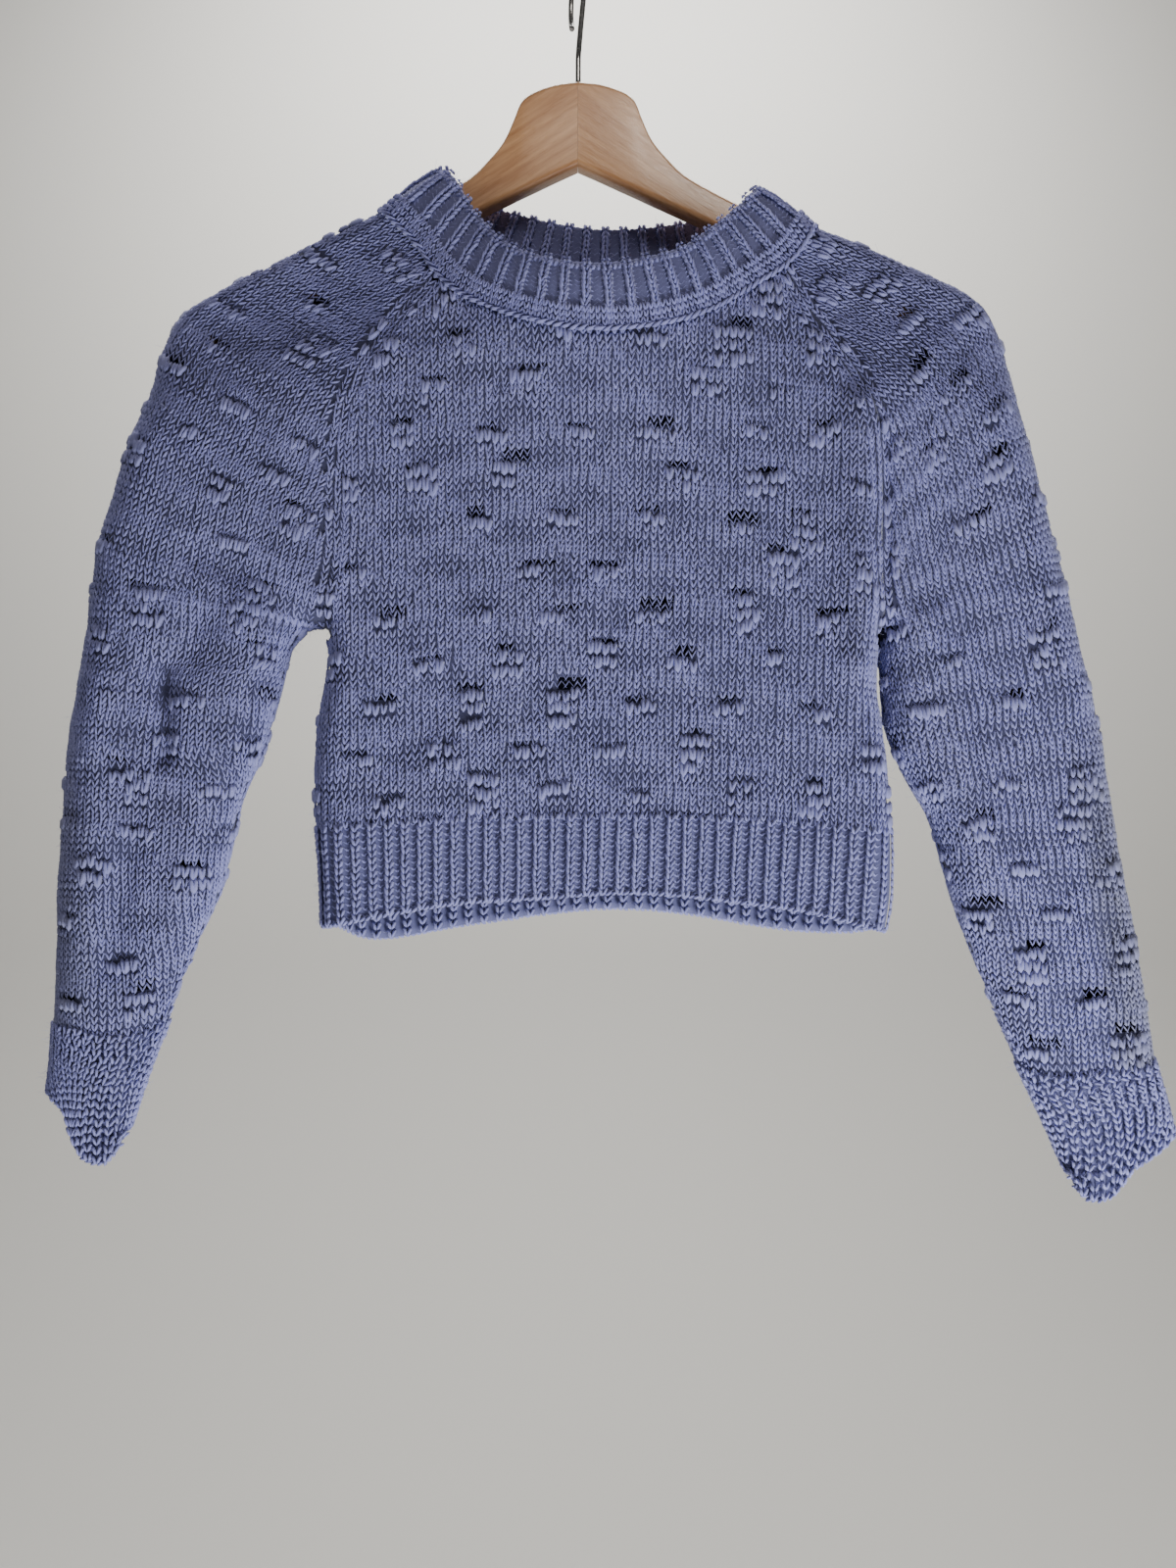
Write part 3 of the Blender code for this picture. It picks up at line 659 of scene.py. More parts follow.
def column_beside(curve: np.ndarray, offset: float, hang: Hang, face: Face, number: float) -> Stitches:
    """A column of stitches that follows a seam.

    Args:
        curve: The seam, flat, from its lower end up.
        offset: How far the column lies to the seam's right, seen from its lower end.
        hang: What the cloth hangs on.
        face: The sheet the column lies on.
        number: The column's place in the slub's pattern.

    Returns:
        The column's stitches.
    """
    reach = arc_lengths(curve)
    count = int(reach[-1] / COURSE)
    wanted = (np.arange(count) + 0.5) * reach[-1] / count
    flat = read_at(curve, reach, wanted)
    ahead = read_at(curve, reach, wanted + 0.5 * COURSE) - read_at(curve, reach, wanted - 0.5 * COURSE)
    direction = unit(ahead)
    right = np.stack([-direction[:, 1], direction[:, 0]], 1)
    flat = flat + offset * right
    place = hang.lay(flat, face)
    above = hang.lay(flat + direction, face)
    beside = hang.lay(flat + right, face)
    across = (beside - place) * (1 if face is Face.FRONT else -1)
    numbers = np.full(count, number)
    return Stitches(place, above - place, across, numbers, np.arange(count, dtype=float), flat)


def write_attribute(mesh: bpy.types.Mesh, name: str, kind: str, values: np.ndarray) -> None:
    """Stores one value for each vertex of the mesh."""
    attribute = mesh.attributes.new(name, kind, "POINT")
    key = "vector" if kind == "FLOAT_VECTOR" else "value"
    attribute.data.foreach_set(key, np.ascontiguousarray(values, np.float32).ravel())


def write_flat(mesh: bpy.types.Mesh, flats: np.ndarray) -> None:
    """Stores where each vertex lies on the flat sweater."""
    write_attribute(mesh, "flat", "FLOAT_VECTOR", np.column_stack([flats, np.zeros(len(flats))]))


def weld(mesh: bpy.types.Mesh, distance: float) -> None:
    """Joins points this many millimetres apart, deletes loose ones and turns every face outwards."""
    cage = bmesh.new()
    cage.from_mesh(mesh)
    bmesh.ops.remove_doubles(cage, verts=cage.verts, dist=distance * MM)
    loose = [v for v in cage.verts if not v.link_faces]
    bmesh.ops.delete(cage, geom=loose, context="VERTS")
    bmesh.ops.recalc_face_normals(cage, faces=cage.faces)
    cage.to_mesh(mesh)
    cage.free()


def applied(obj: bpy.types.Object) -> bpy.types.Mesh:
    """A new mesh of the object with its modifiers applied."""
    return bpy.data.meshes.new_from_object(obj.evaluated_get(bpy.context.evaluated_depsgraph_get()))


def to_frame(place: np.ndarray) -> np.ndarray:
    """Turns places in millimetres from the wood's top into the frame's metres."""
    return (place - np.array([0, 0, HOOK_RISE])) * MM


def link(obj: bpy.types.Object) -> bpy.types.Object:
    """Puts a new object in the scene."""
    bpy.context.scene.collection.objects.link(obj)
    return obj


class LegTree:
    """The Geometry Nodes tree that sets a plump yarn leg on every point."""

    NAME = "yarn_legs"
    SEGMENTS, RINGS = 3, 3

    def __init__(self) -> None:
        """Builds the tree."""
        self.tree = bpy.data.node_groups.new(self.NAME, "GeometryNodeTree")
        face = self.tree.interface
        face.new_socket("Geometry", in_out="INPUT", socket_type="NodeSocketGeometry")
        self.plumpness = face.new_socket("Plumpness", in_out="INPUT", socket_type="NodeSocketFloat")
        self.plumpness.default_value = 1.0
        self.material = face.new_socket("Yarn", in_out="INPUT", socket_type="NodeSocketMaterial")
        face.new_socket("Geometry", in_out="OUTPUT", socket_type="NodeSocketGeometry")
        self._wire()

    def _node(self, kind: str) -> bpy.types.Node:
        """Adds a node of this kind."""
        return self.tree.nodes.new(kind)

    def _named(self, name: str, kind: str) -> bpy.types.Node:
        """Adds a node that reads a stored attribute."""
        node = self._node("GeometryNodeInputNamedAttribute")
        node.data_type = kind
        node.inputs["Name"].default_value = name
        return node

    def _wire(self) -> None:
        """Joins the nodes."""
        joins = self.tree.links.new
        start, end = self._node("NodeGroupInput"), self._node("NodeGroupOutput")
        leg = self._node("GeometryNodeMeshUVSphere")
        leg.inputs["Segments"].default_value = self.SEGMENTS
        leg.inputs["Rings"].default_value = self.RINGS
        leg.inputs["Radius"].default_value = 1.0
        smooth = self._node("GeometryNodeSetShadeSmooth")
        turn = self._node("FunctionNodeAxesToRotation")
        turn.primary_axis, turn.secondary_axis = "Z", "X"
        scale = self._node("ShaderNodeVectorMath")
        scale.operation = "SCALE"
        points = self._node("GeometryNodeInstanceOnPoints")
        realize = self._node("GeometryNodeRealizeInstances")
        finish = self._node("GeometryNodeSetMaterial")
        joins(leg.outputs["Mesh"], smooth.inputs["Geometry"])
        joins(smooth.outputs["Geometry"], points.inputs["Instance"])
        joins(start.outputs["Geometry"], points.inputs["Points"])
        joins(self._named("along", "FLOAT_VECTOR").outputs["Attribute"], turn.inputs["Primary Axis"])
        joins(self._named("outwards", "FLOAT_VECTOR").outputs["Attribute"], turn.inputs["Secondary Axis"])
        joins(turn.outputs["Rotation"], points.inputs["Rotation"])
        joins(self._named("size", "FLOAT_VECTOR").outputs["Attribute"], scale.inputs[0])
        joins(start.outputs["Plumpness"], scale.inputs["Scale"])
        joins(scale.outputs["Vector"], points.inputs["Scale"])
        joins(points.outputs["Instances"], realize.inputs["Geometry"])
        joins(realize.outputs["Geometry"], finish.inputs["Geometry"])
        joins(start.outputs["Yarn"], finish.inputs["Material"])
        joins(finish.outputs["Geometry"], end.inputs["Geometry"])

    def grow(self, name: str, legs: Legs, material: bpy.types.Material) -> bpy.types.Object:
        """Turns legs into one mesh object.

        Args:
            name: The new object's name.
            legs: The legs.
            material: Their yarn.

        Returns:
            The object, with its modifier applied.
        """
        mesh = bpy.data.meshes.new(name)
        mesh.from_pydata(to_frame(legs.place).tolist(), [], [])
        write_attribute(mesh, "along", "FLOAT_VECTOR", legs.along)
        write_attribute(mesh, "outwards", "FLOAT_VECTOR", legs.outwards)
        write_attribute(mesh, "size", "FLOAT_VECTOR", legs.size * MM)
        write_attribute(mesh, "shade", "FLOAT", legs.shade)
        write_attribute(mesh, "wear", "FLOAT", np.clip(legs.wear, 0, 1))
        write_flat(mesh, legs.flat)
        seeds = link(bpy.data.objects.new(name + "_points", mesh))
        modifier = seeds.modifiers.new("legs", "NODES")
        modifier.node_group = self.tree
        modifier[self.plumpness.identifier] = 1.0
        modifier[self.material.identifier] = material
        result = applied(seeds)
        bpy.data.objects.remove(seeds)
        result.name = name
        for extra in ("along", "outwards", "size"):
            if extra in result.attributes:
                result.attributes.remove(result.attributes[extra])
        return link(bpy.data.objects.new(name, result))


def lay_out_map(obj: bpy.types.Object) -> None:
    """Gives the object a map on which each point lies where it does on the flat sweater."""
    mesh = obj.data
    count = len(mesh.vertices)
    flat = np.empty(count * 3, np.float32)
    mesh.attributes["flat"].data.foreach_get("vector", flat)
    flat = flat.reshape(-1, 3)[:, :2]
    low, high = flat.min(0), flat.max(0)
    places = (flat - low) / np.maximum(high - low, 1e-6) * 0.98 + 0.01
    corner = np.empty(len(mesh.loops), np.int32)
    mesh.loops.foreach_get("vertex_index", corner)
    layer = mesh.uv_layers.new(name="OFBake")
    layer.uv.foreach_set("vector", places[corner].astype(np.float32).ravel())


# ---------------------------------------------------------------- materials

# The grey of matted wool, which also stands as painted sheen along the sleeves' outer folds.
MATTED_AND_SHEEN_GREY = (0.235, 0.245, 0.365, 1)
GRAIN_SLANT = math.radians(33)  # the wood's grain falls away from the middle on both arms


class NodeBuilder:
    """Short ways to add and join shader nodes."""

    def __init__(self, tree: bpy.types.NodeTree) -> None:
        """Keeps the tree that nodes are added to."""
        self.tree = tree

    def add(self, kind: str, **inputs: object) -> bpy.types.Node:
        """Adds a node and sets or joins its inputs by name."""
        node = self.tree.nodes.new(kind)
        self.fill(node, **inputs)
        return node

    def fill(self, node: bpy.types.Node, **inputs: object) -> None:
        """Sets or joins a node's inputs by name."""
        for name, value in inputs.items():
            self.put(node, name.replace("_", " "), value)

    def put(self, node: bpy.types.Node, name: str | int, value: object) -> None:
        """Sets an input to a number or joins it to a socket."""
        socket = node.inputs[name]
        if isinstance(value, bpy.types.NodeSocket):
            self.tree.links.new(value, socket)
        else:
            socket.default_value = value

    def math(self, operation: str, a: object, b: object = 0.0) -> bpy.types.NodeSocket:
        """Adds a Math node."""
        node = self.tree.nodes.new("ShaderNodeMath")
        node.operation = operation
        self.put(node, 0, a)
        self.put(node, 1, b)
        return node.outputs[0]

    def mix(self, share: object, a: object, b: object, blend: str = "MIX") -> bpy.types.NodeSocket:
        """Mixes two colours."""
        node = self.tree.nodes.new("ShaderNodeMix")
        node.data_type, node.blend_type = "RGBA", blend
        self.put(node, 0, share)
        self.put(node, 6, a)
        self.put(node, 7, b)
        return node.outputs[2]

    def span(
        self, value: object, low: float, high: float, to_low: float = 0.0, to_high: float = 1.0
    ) -> bpy.types.NodeSocket:
        """Moves a value from one range to another."""
        node = self.add(
            "ShaderNodeMapRange", Value=value, From_Min=low, From_Max=high, To_Min=to_low, To_Max=to_high
        )
        return node.outputs["Result"]

    def stretched(self, vector: object, scale: tuple) -> bpy.types.NodeSocket:
        """The vector times a scale along each axis."""
        return self.add("ShaderNodeMapping", Vector=vector, Scale=scale).outputs["Vector"]

    def noise(
        self, vector: object, scale: float, detail: float = 3.0, rough: float = 0.55
    ) -> bpy.types.NodeSocket:
        """Adds a Noise texture and returns its value."""
        node = self.add("ShaderNodeTexNoise", Vector=vector, Scale=scale, Detail=detail, Roughness=rough)
        return node.outputs["Fac"]


def new_material(name: str) -> tuple[bpy.types.Material, NodeBuilder, bpy.types.Node]:
    """Makes a material, and what builds its tree and shades it."""
    material = bpy.data.materials.new(name)
    material.use_nodes = True
    return material, NodeBuilder(material.node_tree), material.node_tree.nodes["Principled BSDF"]


def wool_group() -> bpy.types.NodeTree:
    """The colour and fibre relief that every knitted piece shares."""
    tree = bpy.data.node_groups.new("wool_fibre", "ShaderNodeTree")
    face = tree.interface
    for name in ("Shadowed", "Body", "Puffed"):
        face.new_socket(name, in_out="INPUT", socket_type="NodeSocketColor")
    face.new_socket("Shade", in_out="INPUT", socket_type="NodeSocketFloat")
    face.new_socket("Wear", in_out="INPUT", socket_type="NodeSocketFloat")
    face.new_socket("Color", in_out="OUTPUT", socket_type="NodeSocketColor")
    face.new_socket("Height", in_out="OUTPUT", socket_type="NodeSocketFloat")
    start, end = tree.nodes.new("NodeGroupInput"), tree.nodes.new("NodeGroupOutput")
    make = NodeBuilder(tree)
    place = make.add("ShaderNodeTexCoord").outputs["Object"]
    broad = make.noise(place, 22.0, 2.0)
    blotch = make.noise(place, 160.0, 2.0)
    fine = make.noise(place, 1500.0, 2.0, 0.6)
    strands = make.noise(make.stretched(place, (2600.0, 2600.0, 900.0)), 1.0, 2.0, 0.6)
    shadowed, body, puffed, shade, wear = (
        start.outputs[name] for name in ("Shadowed", "Body", "Puffed", "Shade", "Wear")
    )
    # Shade picks painted shade below a half and painted highlight above it, besides random tone.
    low = make.mix(make.span(shade, 0.0, 0.5), shadowed, body)
    tone = make.mix(make.span(shade, 0.5, 1.0), low, puffed)
    lighter = make.mix(make.span(broad, 0.35, 0.7, 0.0, 0.30), tone, puffed)
    # The grey mix is matted wool and painted sheen.
    matted_and_sheen = make.math("MULTIPLY", wear, make.span(blotch, 0.25, 0.6, 0.45, 1.0))
    lighter = make.mix(matted_and_sheen, lighter, MATTED_AND_SHEEN_GREY)
    bright = make.span(make.math("ADD", blotch, fine), 0.6, 1.4, 0.82, 1.16)
    grey = make.add("ShaderNodeCombineColor", Red=bright, Green=bright, Blue=bright).outputs[0]
    height = make.math("ADD", make.math("MULTIPLY", strands, 0.7), make.math("MULTIPLY", fine, 0.5))
    make.fill(end, Color=make.mix(1.0, lighter, grey, "MULTIPLY"), Height=height)
    return tree


@dataclass(frozen=True)
class Wool:
    """A finish of the blue wool."""

    name: str
    # The shadowed copy is painted shade and the lightest copy painted highlight; random tone mixes between
    # them too.
    shadowed: tuple = (0.155, 0.165, 0.370)
    body: tuple = (0.285, 0.298, 0.610)
    puffed: tuple = (0.350, 0.360, 0.680)
    # dimmed: how much darker the colours are made, as painted shade for the walls between the yarn
    dimmed: float = 1.0
    uneven_shade: bool = True

    def material(self, group: bpy.types.NodeTree) -> bpy.types.Material:
        """Builds the material.

        Args:
            group: The wool's shared node group.

        Returns:
            The material.
        """
        material, make, shader = new_material(self.name)
        wool = make.add("ShaderNodeGroup")
        wool.node_tree = group
        for socket, colour in (("Shadowed", self.shadowed), ("Body", self.body), ("Puffed", self.puffed)):
            wool.inputs[socket].default_value = (*(self.dimmed * c for c in colour), 1)
        wool.inputs["Shade"].default_value = 0.4
        for name in ("shade", "wear") if self.uneven_shade else ():
            stored = make.add("ShaderNodeAttribute")
            stored.attribute_name = name
            make.put(wool, name.capitalize(), stored.outputs["Fac"])
        bump = make.add("ShaderNodeBump", Height=wool.outputs["Height"], Strength=0.5, Distance=0.0004)
        make.fill(
            shader, Base_Color=wool.outputs["Color"], Normal=bump.outputs["Normal"], Roughness=0.93,
            Specular_IOR_Level=0.18, Sheen_Weight=0.32, Sheen_Roughness=0.45,
            Sheen_Tint=(0.78, 0.80, 0.95, 1),
        )
        return material


@dataclass(frozen=True)
class VarnishedWood:
    """Light brown wood with a slanting grain under clear varnish."""

    name: str
    slant: float  # the grain's angle from level
    light: tuple = (0.72, 0.41, 0.21)
    dark: tuple = (0.38, 0.155, 0.055)
    gloss: float = 0.30
    coat: float = 0.35

    def material(self) -> bpy.types.Material:
        """Builds the material."""
        material, make, shader = new_material(self.name)
        place = make.add("ShaderNodeTexCoord").outputs["Object"]
        turned = make.add("ShaderNodeMapping", Vector=place, Rotation=(0.0, self.slant, 0.0))
        along = turned.outputs["Vector"]
        grain = make.noise(make.stretched(along, (24.0, 160.0, 330.0)), 1.0, 5.0, 0.62)
        bands = make.noise(make.stretched(along, (8.0, 60.0, 62.0)), 1.0, 2.0)
        pores = make.noise(make.stretched(along, (170.0, 900.0, 1500.0)), 1.0, 2.0)
        mixed = make.math("ADD", make.math("MULTIPLY", grain, 0.6), make.math("MULTIPLY", bands, 0.4))
        tone = make.mix(make.span(mixed, 0.36, 0.66), (*self.light, 1), (*self.dark, 1))
        colour = make.mix(make.span(pores, 0.6, 0.78, 0.0, 0.35), tone, (*self.dark, 1))
        rough = make.span(pores, 0.3, 0.7, self.gloss - 0.05, self.gloss + 0.12)
        height = make.math("ADD", make.math("MULTIPLY", pores, 0.5), grain)
        relief = make.add("ShaderNodeBump", Height=height, Strength=0.35, Distance=0.0003).outputs["Normal"]
        make.fill(
            shader, Base_Color=colour, Roughness=rough, Coat_Weight=self.coat, Coat_Roughness=0.32,
            Normal=relief, Coat_Normal=relief,
        )
        return material


@dataclass(frozen=True)
class BrightWire:
    """Plated steel wire with faint drawing marks."""

    name: str = "hook_wire"

    def material(self) -> bpy.types.Material:
        """Builds the material."""
        material, make, shader = new_material(self.name)
        place = make.add("ShaderNodeTexCoord").outputs["Object"]
        marks = make.noise(make.stretched(place, (1600.0, 1600.0, 160.0)), 1.0, 3.0)
        colour = make.mix(make.span(marks, 0.3, 0.7), (0.30, 0.30, 0.31, 1), (0.48, 0.47, 0.46, 1))
        rough = make.span(marks, 0.3, 0.7, 0.16, 0.30)
        make.fill(shader, Base_Color=colour, Metallic=1.0, Roughness=rough)
        return material


@dataclass
class Finishes:
    """Every material of the sweater and its hanger."""

    group: bpy.types.NodeTree = field(default_factory=wool_group)

    def __post_init__(self) -> None:
        """Builds them all."""
        self.yarn = Wool("blue_wool_yarn").material(self.group)
        self.rib = Wool("blue_wool_rib").material(self.group)
        # The walls' wool is dimmed as painted shade in the gaps between the yarn.
        self.ground = Wool("blue_wool_ground", dimmed=0.22, uneven_shade=False).material(self.group)
        self.rib_ground = Wool("blue_wool_rib_ground", dimmed=0.5, uneven_shade=False).material(self.group)
        self.fuzz = Wool(
            "blue_wool_fuzz", (0.42, 0.44, 0.66), (0.50, 0.52, 0.76), (0.58, 0.60, 0.82), uneven_shade=False
        ).material(self.group)
        self.wood_right = VarnishedWood("varnished_wood_right", GRAIN_SLANT).material()
        self.wood_left = VarnishedWood("varnished_wood_left", -GRAIN_SLANT, gloss=0.26, coat=0.5).material()
        self.wire = BrightWire().material()


# ---------------------------------------------------------------- knitted pieces


@dataclass
class KnitPiece:
    """What every knitted piece has: its node, its cut and its two objects."""

    node: str
    finishes: Finishes
    tree: LegTree
    seed: int
    cut: tuple  # width and length of the flat piece, in metres
    cut_area: float  # square metres
    rests_on: tuple = ("hanger_right_half", "hanger_left_half")
    fibres: int = 260

    def wall(
        self,
        grid: np.ndarray,
        flats: np.ndarray,
        closed: bool,
        holes: np.ndarray | None,
        ground: bpy.types.Material,
    ) -> bpy.types.Object:
        """Makes the thin wall behind the stitches, dark as painted shade between the legs.

        Args:
            grid: Its points, row by row, in millimetres.
            flats: The same points on the flat sweater.
            closed: Whether each row's last point joins its first.
            holes: For each cell, whether it is left open, or None.
            ground: The wall's material, dark as painted shade.

        Returns:
            The wall's object.
        """
        rows, columns = grid.shape[:2]
        name = self.node + "_knit"
        number = np.arange(rows * columns).reshape(rows, columns)
        if closed:
            number = np.hstack([number, number[:, :1]])
        quads = np.stack([number[:-1, :-1], number[1:, :-1], number[1:, 1:], number[:-1, 1:]], -1)
        if holes is not None:
            quads = quads[~holes]
        mesh = bpy.data.meshes.new(name)
        mesh.from_pydata(to_frame(grid.reshape(-1, 3)).tolist(), [], quads.reshape(-1, 4).tolist())
        write_flat(mesh, flats.reshape(-1, 2))
        weld(mesh, 0.02)
        mesh.materials.append(ground)
        mesh.shade_smooth()
        obj = link(bpy.data.objects.new(name, mesh))
        solid = obj.modifiers.new("wall", "SOLIDIFY")
        solid.thickness, solid.offset = WALL * MM, 0.0
        result = applied(obj)
        obj.modifiers.clear()
        obj.data = result
        result.name = name
        return obj

    def dress(self, wall: bpy.types.Object, legs: Legs, yarn: bpy.types.Material) -> None:
        """Adds the piece's yarn and stray fibres to its wall, hangs all three on the body and hides the
        frame's part.
        """
        knit = self.tree.grow(self.node + "_stitches", legs, yarn)
        fibres = stray_fibres(legs, self.fibres, self.seed)
        hairs = self.tree.grow(self.node + "_fuzz", fibres, self.finishes.fuzz)
        for obj in (wall, knit, hairs):
            lay_out_map(obj)
            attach(obj, BODY)
        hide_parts(self.node)
        LOG.info("%s: wall %d faces, %d legs", self.node, len(wall.data.polygons), len(legs.place))


def inset(grid: np.ndarray, distance: float, closed: bool = False) -> np.ndarray:
    """Moves a grid's points along its own normals, away from the side that its rows' cross product faces."""
    if closed:
        across = np.roll(grid, -1, 1) - np.roll(grid, 1, 1)
    else:
        across = np.gradient(grid, axis=1)
    up = np.gradient(grid, axis=0)
    return grid - distance * unit(np.cross(across, up))


@dataclass
class BodyPanel(KnitPiece):
    """The front or the back of the body, from the rib up to the collar."""

    face: Face = Face.FRONT
    slub: Slub = field(default_factory=Slub)
    columns: int = 74
    samples: int = 260  # points along each course

    def edge(self, side: Side) -> np.ndarray:
        """The panel's side edge, flat, from the rib up to the collar."""
        raglan = spline(RAGLANS[side.key, self.face.key])
        fold = SIDE_EDGES[side.key]
        corner = np.array([RIB_TOP[0 if side is Side.RIGHT else -1]], float)
        below = fold[fold[:, 1] < corner[0, 1] - 1]
        return np.vstack([corner, below[::-1], raglan[::-1][1:]])

    def rib_drop(self, x: np.ndarray) -> np.ndarray:
        """Where the rib starts, at each x."""
        curve = spline(RIB_TOP)
        return np.interp(x, curve[:, 0], curve[:, 1])

    def neck_drop(self, x: np.ndarray) -> np.ndarray:
        """Where the collar's seam runs, at each x."""
        curve = spline(NECKS[self.face.key])
        return np.interp(x, curve[:, 0], curve[:, 1])

    def outline_x(self, side: Side, drop: np.ndarray) -> np.ndarray:
        """The panel's edge at each drop."""
        raglan, fold = spline(RAGLANS[side.key, self.face.key]), SIDE_EDGES[side.key]
        curve = np.vstack([raglan[:-1], fold])
        return np.interp(drop, curve[:, 1], curve[:, 0])

    def carrier(self) -> Carrier:
        """Rows a course apart, from the rib up."""
        top = min(self.neck_drop(np.array([RAGLANS[side.key, self.face.key][0][0]]))[0] for side in Side)
        courses = int((self.rib_drop(np.array([BODY_CENTRE]))[0] - top) / COURSE)
        share = crowded(self.samples, 0.35)
        rows, flats, centre = [], [], []
        for j in range(courses):
            level = (j + 0.5) * COURSE
            x0, x1 = (self.outline_x(side, np.array([RIB_LEVEL - level]))[0] for side in Side)
            x = x0 + (x1 - x0) * share
            flat = np.stack([x, self.rib_drop(x) - level], 1)
            row = BODY_HANG.lay(flat, self.face)
            rows.append(row)
            flats.append(flat)
            centre.append(np.interp(BODY_CENTRE, x, arc_lengths(row)))
        margins = np.full((courses, 2), WALE * 0.3)
        return Carrier(np.array(rows), np.array(flats), np.array(centre), margins)

    def stitches(self) -> Stitches:
        """The panel's stitches, with two columns along each raglan."""
        found = self.carrier().stitches()
        if self.face is Face.BACK:
            found = found.turned(-1)
        clear = found.flat[:, 1] > self.neck_drop(found.flat[:, 0]) + 2.5
        for side in Side:
            clear &= distance_to(found.flat, spline(RAGLANS[side.key, self.face.key], 3)) > 1.5 * WALE
        parts = [found.kept(clear)]
        for side in Side:
            seam = spline(RAGLANS[side.key, self.face.key])[::-1]
            for k in (0.5, 1.45):
                offset = -side.value * k * WALE
                parts.append(column_beside(seam, offset, BODY_HANG, self.face, 40.0 + k))
        return Stitches.joined(parts)

    def wall_grid(self) -> tuple[np.ndarray, np.ndarray]:
        """The wall's points and where they lie on the flat sweater."""
        coarse = 1 if self.face is Face.FRONT else 2
        share = crowded(self.columns // coarse, 0.6)
        below, above = np.linspace(0, 0.36, 30 // coarse)[:-1], np.linspace(0.36, 1, 56 // coarse)
        heights = np.concatenate([below, above])
        left, right = (at_shares(self.edge(side), heights) for side in Side)
        bottom = at_shares(spline(RIB_TOP), share)
        neck = spline(NECKS[self.face.key])
        ends = [share_near(neck, RAGLANS[side.key, self.face.key][0]) for side in Side]
        top = at_shares(neck, ends[0] + (ends[1] - ends[0]) * share)
        v, u = heights[:, None, None], share[None, :, None]
        ruled = (1 - v) * bottom[None] + v * top[None] + (1 - u) * left[:, None] + u * right[:, None]
        corners = (1 - v) * ((1 - u) * bottom[0] + u * bottom[-1]) + v * ((1 - u) * top[0] + u * top[-1])
        flats = ruled - corners
        return inset(BODY_HANG.lay(flats, self.face), -self.face.value * WALL_INSET), flats

    def build(self) -> None:
        """Makes the panel."""
        grid, flats = self.wall_grid()
        middle = (flats[:-1, :-1] + flats[1:, 1:]) / 2
        wale = (middle[..., 0] - BODY_CENTRE) / WALE - 0.5
        course = (self.rib_drop(middle[..., 0]) - middle[..., 1]) / COURSE - 0.5
        thin = self.slub.read(np.round(wale), course).thin
        holes = thin > HOLE_AT if self.face is Face.FRONT else None
        wall = self.wall(grid, flats, False, holes, self.finishes.ground)
        self.dress(wall, knit_legs(self.stitches(), Yarn(), self.slub, self.seed), self.finishes.yarn)


